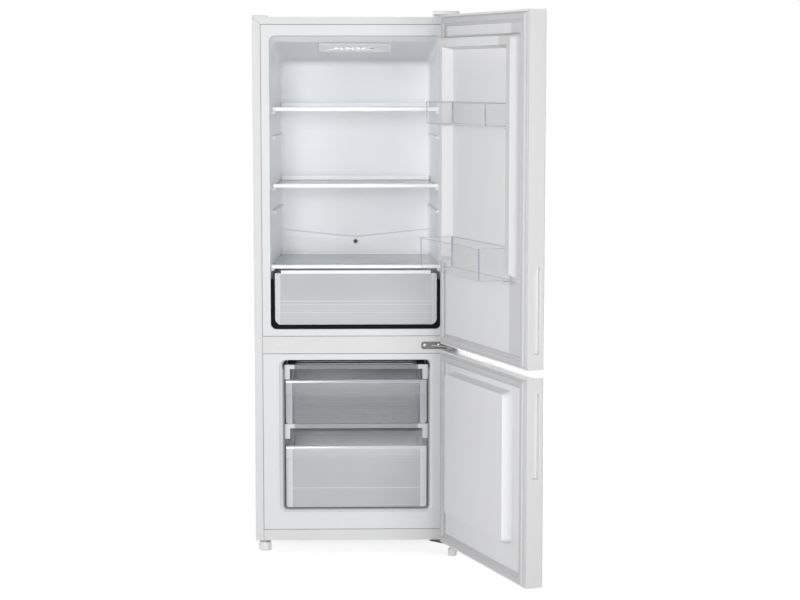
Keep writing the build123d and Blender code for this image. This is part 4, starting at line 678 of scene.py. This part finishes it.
# ================================================ shelves and crisper cover
# Panes of toughened glass, pushed into white extruded trims at their front and back edges. They lie
# on ledges of the lining.
pane_glass = see_through("pane glass", (0.86, 0.9, 0.9), (0.04, 0.08), 0.06, 0.3, 0.000001)
pane_edge = rim_line("pane edge", (0.55, 0.68, 0.66), 0.8)
eased("shelf_glass", pane_glass, 0.0008, edge=pane_edge)
cover_glass = see_through(
    "cover glass", (0.84, 0.86, 0.875), (0.15, 0.2), 0.35, 0.8, 0.000001, shine=0.3
)
eased("crisper_cover_glass", cover_glass, 0.0008, edge=pane_edge)
trim_plastic = finish("shelf trim", (0.9, 0.905, 0.915), (0.32, 0.42), 0.002, 0.00001)
eased("shelf_trims", trim_plastic, 0.0005)

# ================================================ crisper drawer and the black band round it
# A frosted front with a pull along its top, clipped on a deep frosted tub whose rims run on ledges.
# A soft black band round the front, on the lining, is a painted shadow of the gap there.
crisper_sheet = see_through(
    "crisper front plastic", (0.79, 0.805, 0.83), (0.2, 0.28), 0.4, 0.65, 0.00002,
    ("X", 0.202, 0.205, 0.62), ("Z", 0.762, 0.766, 1.0),  # its ends, its pull
    level_lines=((0.6905, 0.0018, 0.75), (0.681, 0.0018, 0.72), (0.6595, 0.0018, 0.68)),
)
frosted_rim = rim_line("frosted rim", (0.86, 0.87, 0.89), 0.8)
eased("crisper_front", crisper_sheet, 0.0009, edge=frosted_rim)
tub_plastic = see_through("tub plastic", (0.8, 0.815, 0.84), (0.25, 0.35), 0.3, 0.6, 0.00003)
eased("crisper_tub", tub_plastic, 0.0007, edge=frosted_rim)
# a painted shadow: a black band where the gap round the front falls in shade
gap_shadow_band = finish("black seal", (0.01, 0.01, 0.012), (0.8, 0.9), 0.002, 0.00003, shine=0.05)
eased("crisper_seal", gap_shadow_band, 0.0008)

# ================================================ control panel
# A flat white panel under the ceiling, with a frosted lamp lens behind, six small light guides in a
# row and a round grey push button.
panel_plastic = finish("panel plastic", (0.9, 0.915, 0.905), (0.5, 0.6), 0.0012, 0.00001, shine=0.2)
toned(panel_plastic, (0.5, ("Y", 0.1025, 0.1005)))  # painted shade on its thin front edge
# painted light: the housing's white plastic gives off a little light of its own
panel_shader = panel_plastic.node_tree.nodes["Principled BSDF"]
panel_shader.inputs["Emission Color"].default_value = (0.95, 1.0, 0.98, 1)
panel_shader.inputs["Emission Strength"].default_value = 0.09
eased("control_housing", panel_plastic, 0.0006)
light_guide = finish("light guide", (0.95, 0.96, 0.96), (0.3, 0.4), 0.002, 0.00001)
guide_tree = light_guide.node_tree
guide_shader = guide_tree.nodes["Principled BSDF"]
guide_shader.inputs["Emission Color"].default_value = (1, 1, 1, 1)
guide_glow = ramped(guide_tree, placed(guide_tree)[1], 0.15, 0.16, 6.0, 0.08)  # guides, then lens
guide_tree.links.new(guide_glow, guide_shader.inputs["Emission Strength"])
dress(light_guide, "lamp_lenses")
button_plastic = finish("button plastic", (0.2, 0.21, 0.22), (0.3, 0.4), 0.002, 0.00001)
dress(button_plastic, "control_button")

# ================================================ freezer evaporator
# Two shelves of coated tube, each bent to and fro in one plane, carried on moulded frames that snap
# into the lining.
frame_plastic = finish("frame plastic", (0.62, 0.625, 0.65), (0.4, 0.5), 0.0012, 0.00001, shine=0.3)
off_corners = ("X", 0.169, 0.166)
toned(
    frame_plastic, (0.48, off_corners), (0.35, off_corners, ("Z", 0.36, 0.47)),  # painted shade: both bars darker, the upper one more
    (0.6, ("Y", 0.062, 0.075)), (0.6, ("Z", 0.5155, 0.516)),  # painted shade behind them, and over the upper one
)
eased("evaporator_frames", frame_plastic, 0.001)

tube_tree, given = new_tree("bent tubes", {
    "Tube radius": "Float", "Bend radius": "Float", "Sides": "Int", "Finish": "Material",
})
tube_run = step(tube_tree, "GeometryNodeMeshToCurve", Mesh=given["Geometry"])
tube_bent = step(
    tube_tree, "GeometryNodeFilletCurve", mode="POLY", Curve=tube_run, Count=8,
    Radius=given["Bend radius"], Limit_Radius=True,
)
tube_ring = step(
    tube_tree, "GeometryNodeCurvePrimitiveCircle", Resolution=given["Sides"],
    Radius=given["Tube radius"],
)
tube_skin = step(
    tube_tree, "GeometryNodeCurveToMesh", Curve=tube_bent, Profile_Curve=tube_ring, Fill_Caps=True
)
closed_tree(tube_tree, tube_skin, given["Finish"])


def bent_tube(name, routes, radius, bend, material, sides=12):
    """Tubes of one size along routes given by their corners, in millimetres."""
    corners, runs = [], []
    for route in routes:
        runs += [(len(corners) + n, len(corners) + n + 1) for n in range(len(route) - 1)]
        corners += [tuple(place / 1000 for place in corner) for corner in route]
    start = bpy.data.meshes.new(f"{name}_start")
    start.from_pydata(corners, runs, [])
    return grown(
        name, start, tube_tree, Tube_radius=radius, Bend_radius=bend, Sides=sides, Finish=material
    )


def folded(ends, places, fixed, along):
    """A route to and fro between two ends, one run for each place."""
    route = []
    for n, place in enumerate(places):
        pair = [(end, fixed, place) if along == "z" else (end, place, fixed) for end in ends]
        route += pair if n % 2 == 0 else pair[::-1]
    return route


coated_tube = finish("coated tube", (0.6, 0.61, 0.63), (0.35, 0.45), 0.002, 0.00002, shine=0.3)
toned(coated_tube, (0.85, ("Z", 0.509, 0.512)))  # painted shade over the top of the upper shelf of tube
tube_ends, tube_levels = (-429, -91), (347.0, 510.0)
tube_front, tube_pitch = 78.0, 318.0 / 7
tube_rows = [tube_front + n * tube_pitch for n in range(8)]
evaporator_tubes = bent_tube(
    "evaporator_tubes", [folded(tube_ends, tube_rows, level, "y") for level in tube_levels],
    0.004, 0.0204, coated_tube,
)
stands_for(evaporator_tubes, "freezer_evaporator", coated_tube)
# the fridge's evaporator stands above that height, so the same painted shade darkens all of it
dress(coated_tube, "fridge_evaporator")

# ================================================ freezer drawers
# Each is a clear front, flat below and rolled over at its top into a pull, clipped on a frosted
# basket. The front's ends look paler where the basket's frame stands behind them.


def crown_step(lean, onward):
    """Length of the pull's top from one lean to the next: short steps, longer ones, then a roll."""
    face_step, turn_step, roll_radius = 0.00035, 0.00085, 0.0034
    if onward <= 8:
        return face_step
    return turn_step if onward <= 15 else roll_radius * radians(onward - lean)


def crown_height(leans):
    """How high the pull's top rises over its leans."""
    return sum(
        crown_step(lean, onward) * cos(radians((lean + onward) / 2))
        for lean, onward in zip(leans, leans[1:])
    )


def rolled_front(node, grip_drop, material, rim):
    """One front: a wall with a shallow step forward and a rolled pull, closed at both ends."""
    low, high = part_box(node)
    middle, half = (low[0] + high[0]) / 2, (high[0] - low[0]) / 2
    thick, step_out, step_high, corner = 0.003, 0.0025, 0.006, 0.0075
    flat_y, pull_y = low[1] + step_out, low[1]
    grip_z = high[2] - grip_drop
    outer = [(flat_y, low[2] + corner * part) for part in (0.0, 0.08, 0.3, 0.6, 1.0)]
    inner = [(y + thick, z) for y, z in outer]
    for part in (0.0, 0.15, 0.5, 0.85, 1.0):
        swell = part * part * (3 - 2 * part)
        z = grip_z - step_high + step_high * part
        outer.append((flat_y - step_out * swell, z))
        inner.append((flat_y + thick - step_out * swell, z + 0.001 * part))
    leans = [8 * n / 3 for n in range(4)] + [8 + 7 * n / 6 for n in range(1, 7)]
    leans += [15 + 75 * n / 12 for n in range(1, 13)]
    y, z = pull_y, high[2] - crown_height(leans)
    for lean, onward in zip(leans, leans[1:] + [90.0]):
        outer.append((y, z))
        inner.append((y + thick * cos(radians(lean)), z - thick * sin(radians(lean))))
        reach, middle_lean = crown_step(lean, onward), radians((lean + onward) / 2)
        y, z = y + reach * sin(middle_lean), z + reach * cos(middle_lean)
    outer.append((high[1], high[2]))
    inner.append((high[1], high[2] - thick))
    shape = bmesh.new()
    sides = []
    for side in (-1, 1):
        pair = []
        for line in (outer, inner):
            column = []
            for y, z in line:
                up = min(corner, z - low[2])
                reach = half - corner + sqrt(max(0.0, corner**2 - (corner - up) ** 2))
                column.append(shape.verts.new((middle + side * reach, y, z)))
            pair.append(column)
        sides.append(pair)
    for line in (0, 1):
        left, right = sides[0][line], sides[1][line]
        for n in range(len(left) - 1):
            shape.faces.new((left[n], right[n], right[n + 1], left[n + 1]))
    for pair in sides:
        for n in range(len(outer) - 1):
            end = shape.faces.new((pair[0][n], pair[0][n + 1], pair[1][n + 1], pair[1][n]))
            end.material_index = 1
    for n in (0, -1):
        edge = shape.faces.new((sides[0][0][n], sides[1][0][n], sides[1][1][n], sides[0][1][n]))
        edge.material_index = 1
    piece = solid_piece(f"{node}_rolled", shape)
    stands_for(piece, node, material, rim)


# the bands are each front's ends, its pull and the pull's crest
# the upper front is a darker copy of the lower one's plastic: a painted shade
shaded_upper_sheet = see_through(
    "upper front plastic", (0.5, 0.51, 0.545), (0.08, 0.12), 0.16, 0.4, 0.00001,
    ("X", 0.172, 0.175, 0.8), ("Z", 0.431, 0.434, 0.26), ("Z", 0.4635, 0.4655, 0.7), shine=1.0,
    level_lines=((0.43, 0.0015, 0.6), (0.387, 0.0015, 0.3)),
)
lower_sheet = see_through(
    "lower front plastic", (0.77, 0.78, 0.81), (0.08, 0.12), 0.4, 0.65, 0.00001,
    ("X", 0.172, 0.175, 0.7), ("Z", 0.259, 0.262, 0.43), ("Z", 0.2815, 0.2835, 0.6), shine=1.0,
    level_lines=((0.258, 0.0015, 0.75), (0.1755, 0.0018, 0.66)),
)
rolled_front("upper_freezer_front", 0.040, shaded_upper_sheet, frosted_rim)
rolled_front("lower_freezer_front", 0.031, lower_sheet, frosted_rim)
basket_plastic = see_through("basket plastic", (0.86, 0.87, 0.9), (0.25, 0.35), 0.12, 0.3, 0.00003)
for basket in ("upper_freezer_basket", "lower_freezer_basket"):
    eased(basket, basket_plastic, 0.0006, edge=frosted_rim)

# ================================================ condenser
# Steel tube folded up the back in nineteen runs, with thin wires welded across it on both sides and
# black paint over all. Four black brackets hold it off the panel.
condenser_y, condenser_ends = 526.0, (-20, -500)
condenser_rows = [300.0 + 50 * n for n in range(19)]
condenser_route = [(-20, condenser_y, 270)]
condenser_route += folded(condenser_ends, condenser_rows, condenser_y, "z")
condenser_route[-1] = (-516, condenser_y, 1200)
condenser_route.append((-516, condenser_y, 230))
condenser_tubes = bent_tube("condenser_tubes", [condenser_route], 0.0024, 0.014, black_paint)
stands_for(condenser_tubes, "condenser_tube", black_paint)

wire_tree, given = new_tree("wires in two layers", {
    "Count": "Int", "Pitch": "Float", "Length": "Float", "Wire radius": "Float",
    "Layer gap": "Float", "Centre": "Vector", "Finish": "Material",
})
wire_gaps = worked(wire_tree, "SUBTRACT", given["Count"], 1.0)
wire_span = times(wire_tree, wire_gaps, given["Pitch"])
wire_marks = step(
    wire_tree, "GeometryNodeMeshLine", Count=given["Count"],
    Start_Location=vector_of(wire_tree, times(wire_tree, wire_span, -0.5)),
    Offset=vector_of(wire_tree, given["Pitch"]),
)
wire_rod = step(
    wire_tree, "GeometryNodeMeshCylinder", Vertices=8, Radius=given["Wire radius"],
    Depth=given["Length"],
)
wire_row = step(wire_tree, "GeometryNodeInstanceOnPoints", Points=wire_marks, Instance=wire_rod)
wire_layers = joined(wire_tree, *[
    step(
        wire_tree, "GeometryNodeTransform", Geometry=wire_row,
        Translation=vector_of(wire_tree, y=times(wire_tree, given["Layer gap"], side)),
    )
    for side in (-0.5, 0.5)
])
wires_in_place = step(
    wire_tree, "GeometryNodeTransform", Geometry=wire_layers, Translation=given["Centre"]
)
closed_tree(wire_tree, wires_in_place, given["Finish"])
condenser_rods = grown(
    "condenser_rods", marks("wire mark", [((0, 0, 0), (0, 0, 1))]), wire_tree, Count=34,
    Pitch=0.013, Length=0.924, Wire_radius=0.0008, Layer_gap=0.0064,
    Centre=(middle_x, condenser_y / 1000, 0.75), Finish=black_paint,
)
stands_for(condenser_rods, "condenser_wires", black_paint)
black_plastic = finish("black plastic", (0.035, 0.035, 0.037), (0.4, 0.5), 0.001, 0.00004)
eased("condenser_brackets", black_plastic, 0.0006)

# ================================================ compressor
# A pump and its motor in a shell of two drawn halves, welded round the middle and painted black. It
# stands on a pressed plate with a rubber mount and a bolt at each corner, and wears a relay box.
shell = bmesh.new()
shell_x, shell_y, shell_half_long, shell_half_wide = -140, 440, 85, 56  # millimetres
shell_points, dome_foot, dome_radius, plate_corner = 72, 159.5, 32, 12
shell_profile = [(-30.0, 51.5), (-14.0, 53.0), (-5.0, 58.0), (-1.5, 66.0), (-1.5, 113.0)]
shell_profile += [(1.8, 113.8), (3.0, 114.8), (3.0, 118.2), (1.8, 119.2), (0.0, 120.0)]
shell_profile += [(0.0, dome_foot)]
for turn in range(10, 91, 10):
    inward = dome_radius * (1 - cos(radians(turn)))
    shell_profile.append((-inward, dome_foot + dome_radius * sin(radians(turn))))
shell_rings = []
for out, height in shell_profile:
    ring = []
    for n in range(shell_points):
        turn = 2 * pi * n / shell_points
        x = shell_x + (shell_half_long + out) * cos(turn)
        y = shell_y + (shell_half_wide + out) * sin(turn)
        ring.append(shell.verts.new((x / 1000, y / 1000, height / 1000)))
    shell_rings.append(ring)
skinned(shell, shell_rings)
plate_edge = []
for centre_x, centre_y, first in ((-64, 480, 0), (-216, 480, 90), (-216, 400, 180), (-64, 400, 270)):
    for turn in range(first, first + 91, 15):
        x = centre_x + plate_corner * cos(radians(turn))
        plate_edge.append((x, centre_y + plate_corner * sin(radians(turn))))
skinned(shell, [
    [shell.verts.new((x / 1000, y / 1000, z / 1000)) for x, y in plate_edge] for z in (49.0, 51.5)
])
discharge_stub = [(0.0045, 0.0), (0.0045, 0.004), (0.003, 0.005), (0.003, 0.036)]
suction_stub = [(0.0045, 0.0), (0.0045, 0.014), (0.003, 0.015), (0.003, 0.019)]
spun(shell, discharge_stub, (-0.07, 0.464, 0.1495), (0, 1, 0), 16)
spun(shell, suction_stub, (-0.065, 0.44, 0.1195), (1, 0, 0), 16)
compressor_shell = solid_piece("compressor_shell", shell)
stands_for(compressor_shell, "compressor", black_paint)
black_rubber = finish("black rubber", (0.03, 0.03, 0.03), (0.6, 0.75), 0.0015, 0.00005)
eased("compressor_mounts", black_rubber, 0.0008)

bolt_tree, given = new_tree("hexagon bolts", {
    "Head radius": "Float", "Head height": "Float", "Shank radius": "Float",
    "Shank length": "Float", "Finish": "Material",
})
bolt_head = rod_of(bolt_tree, 6, given["Head radius"], given["Head height"], 0.5)
bolt_shank = rod_of(bolt_tree, 16, given["Shank radius"], given["Shank length"], -0.5)
whole_bolt = joined(bolt_tree, bolt_head, bolt_shank)
closed_tree(bolt_tree, set_on_marks(bolt_tree, given["Geometry"], whole_bolt), given["Finish"])
bolt_places = [((x, y, 0.0515), (0, 0, 1)) for x in (-0.065, -0.215) for y in (0.4, 0.48)]
mount_bolts = grown(
    "hexagon_bolts", marks("bolt marks", bolt_places), bolt_tree, Head_radius=0.0065,
    Head_height=0.004, Shank_radius=0.003, Shank_length=0.0195, Finish=bright_zinc,
)
stands_for(mount_bolts, "compressor_bolts", bright_zinc)
eased("relay_box", black_plastic, 0.0012)
eased("drip_tray", black_plastic, 0.0005)

# ================================================ pipes
# Copper tube joins the compressor to the condenser and the evaporators. The fat piece is the filter
# drier, with the thin capillary leaving its foot.
copper = finish("copper", (0.62, 0.33, 0.21), (0.28, 0.42), 0.004, 0.00002, drift=0.12, metallic=0.9)
discharge_pipe = bent_tube(
    "pipes",
    [
        [(-70, 500, 149.5), (-70, 526, 149.5), (-70, 526, 227), (-20, 526, 227), (-20, 526, 270)],
        [(-516, 526, 230), (-516, 526, 194), (-516, 495, 194), (-516, 495, 180)],
    ],
    0.0024, 0.012, copper,
)
capillary = bent_tube(
    "capillary", [[(-516, 495, 75), (-516, 495, 53), (-516, 440, 53), (-516, 440, 245)]],
    0.0012, 0.009, copper, 8,
)
suction_pipe = bent_tube(
    "suction", [[(-46, 440, 119.5), (-26, 440, 119.5), (-26, 440, 245)]], 0.003, 0.010, copper,
)
pipes = bmesh.new()
for run in (discharge_pipe, capillary, suction_pipe):
    pipes.from_mesh(run.data)
    bpy.data.objects.remove(run)
drier_profile = [(0.0012, -0.003), (0.004, 0.0), (0.0085, 0.006), (0.009, 0.009), (0.009, 0.096)]
drier_profile += [(0.0085, 0.099), (0.0045, 0.104), (0.0026, 0.107)]
spun(pipes, drier_profile, (-0.516, 0.495, 0.074), (0, 0, 1), 24)
pipe_work = solid_piece("pipe_work", pipes)
stands_for(pipe_work, "refrigerant_pipes", copper)

# ================================================ rollers, drain and cord gland
# The cabinet tips back on two black rollers with a ribbed tread. The drain tube leads thaw water to
# the tray, and a rubber gland lines the hole for the mains lead.


def ribbed_roller(node):
    """A roller: hub, web and a tread with ribs across it, bored for its pin."""
    low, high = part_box(node)
    centre = [(low[n] + high[n]) / 2 for n in range(3)]
    half, tread, bore, rib, sides = (high[0] - low[0]) / 2, 0.0194, 0.0031, 0.0006, 48
    profile = [
        (bore, -half), (0.007, -half), (0.0072, -half + 0.003), (0.0145, -half + 0.0035),
        (0.0155, -half), (tread - 0.001, -half), (tread, -half + 0.001), (tread, half - 0.001),
        (tread - 0.001, half), (0.0155, half), (0.0145, half - 0.0035), (0.0072, half - 0.003),
        (0.007, half), (bore, half),
    ]
    shape = bmesh.new()
    rings = []
    for radius, aside in profile:
        rings.append([
            shape.verts.new((
                centre[0] + aside, centre[1] + radius * cos(2 * pi * n / sides),
                centre[2] + radius * sin(2 * pi * n / sides),
            ))
            for n in range(sides)
        ])
    skinned(shape, rings, capped=False)
    bmesh.ops.recalc_face_normals(shape, faces=shape.faces)
    roller = grown(
        f"{node}_ribbed", settled(f"{node}_start", shape), rib_tree, Count=30,
        Rim_radius=tread, Rib_radius=rib, Rib_length=2 * half - 0.003,
        Turn=(0.0, radians(90), 0.0), Centre=centre, Finish=black_plastic,
    )
    stands_for(roller, node, black_plastic)


for roller in ("left_rear_roller", "right_rear_roller"):
    ribbed_roller(roller)
eased("cord_gland", black_rubber, 0.0005)
tube_plastic = finish("drain tube plastic", (0.55, 0.56, 0.57), (0.4, 0.5), 0.003, 0.00002)
dress(tube_plastic, "drain_tube")

# ================================================ floor, light and camera
# A plain pale floor that keeps the object's shadow, a white surround, six large soft lamps, and a
# long lens that stands where the photograph's did.
floor_mesh = bpy.data.meshes.new("studio_floor")
floor_mesh.from_pydata(
    [(-30, -12, 0), (30, -12, 0), (30, 40, 0), (-30, 40, 0)], [], [(0, 1, 2, 3)]
)
studio_floor = set_out("studio_floor", floor_mesh)
floor_finish = bpy.data.materials.new("pale floor")
floor_finish.use_nodes = True
floor_tree = floor_finish.node_tree
floor_shader = floor_tree.nodes["Principled BSDF"]
floor_shader.inputs["Base Color"].default_value = (0.6, 0.6, 0.6, 1)
floor_shader.inputs["Roughness"].default_value = 0.9
floor_shader.inputs["Specular IOR Level"].default_value = 0.0


def seen_or_mirrored(tree):
    """One where the camera looks straight at a thing, in a mirror or through glass."""
    ray = tree.nodes.new("ShaderNodeLightPath").outputs
    seen = worked(tree, "MAXIMUM", ray["Is Camera Ray"], ray["Is Glossy Ray"])
    return worked(tree, "MAXIMUM", seen, ray["Is Transmission Ray"])


floor_place = floor_tree.nodes.new("ShaderNodeTexCoord")
floor_reach = floor_tree.nodes.new("ShaderNodeVectorMath")
floor_reach.operation = "LENGTH"
floor_tree.links.new(floor_place.outputs["Object"], floor_reach.inputs[0])
floor_fade = ramped(floor_tree, floor_reach.outputs["Value"], 0.9, 2.5, 0.72, 1.0, kind="LINEAR")
floor_shader.inputs["Emission Color"].default_value = (1, 1, 1, 1)
floor_tree.links.new(
    times(floor_tree, floor_fade, seen_or_mirrored(floor_tree)),
    floor_shader.inputs["Emission Strength"],
)
floor_mesh.materials.append(floor_finish)

world = bpy.data.worlds.new("studio")
bpy.context.scene.world = world
world.use_nodes = True
surround = world.node_tree.nodes["Background"]
surround.inputs["Color"].default_value = (1, 1, 1, 1)
world_level = ramped(
    world.node_tree, seen_or_mirrored(world.node_tree), 0.0, 1.0, 0.17, 1.0, kind="LINEAR"
)
world.node_tree.links.new(world_level, surround.inputs["Strength"])


def soft_lamp(name, place, aim, size, watts, roll=0.0):
    """A square lamp, size metres wide, that looks at a point and is rolled by some degrees."""
    lamp = bpy.data.lights.new(name, "AREA")
    lamp.shape = "SQUARE"
    lamp.size = size
    lamp.energy = watts
    holder = set_out(name, lamp)
    holder.location = place
    look = (Vector(aim) - Vector(place)).to_track_quat("-Z", "Y").to_matrix()
    holder.rotation_euler = (look @ Matrix.Rotation(radians(roll), 3, "Z")).to_euler()


soft_lamp("front lamp", (-1.08, -4.9, 1.6), (-0.3, 0.2, 0.9), 1.1, 88, roll=45)
soft_lamp("right lamp", (1.9, -4.9, 0.95), (-0.2, 0.2, 0.75), 1.8, 90)
soft_lamp("left lamp", (-3.5, -3.7, 1.5), (-0.1, 0.2, 0.8), 1.6, 66)
soft_lamp("far left lamp", (-3.6, 1.2, 1.6), (-0.5, 0.2, 0.8), 1.6, 30)
soft_lamp("far right lamp", (3.8, 1.2, 1.6), (0.0, 0.2, 0.8), 1.6, 35)
soft_lamp("back lamp", (0.2, 4.6, 1.8), (-0.2, 0.4, 0.8), 2.0, 60)

bpy.context.scene.view_settings.view_transform = "Standard"
lens = bpy.data.cameras.new("camera")
lens.lens = 90.0
lens.sensor_width = 36.0
lens.clip_end = 100.0
camera = set_out("camera", lens)
camera.location = (-0.26936, -5.31748, 1.2938)
camera.rotation_euler = (radians(90 - 6.3865), 0, radians(-1.368))
bpy.context.scene.camera = camera
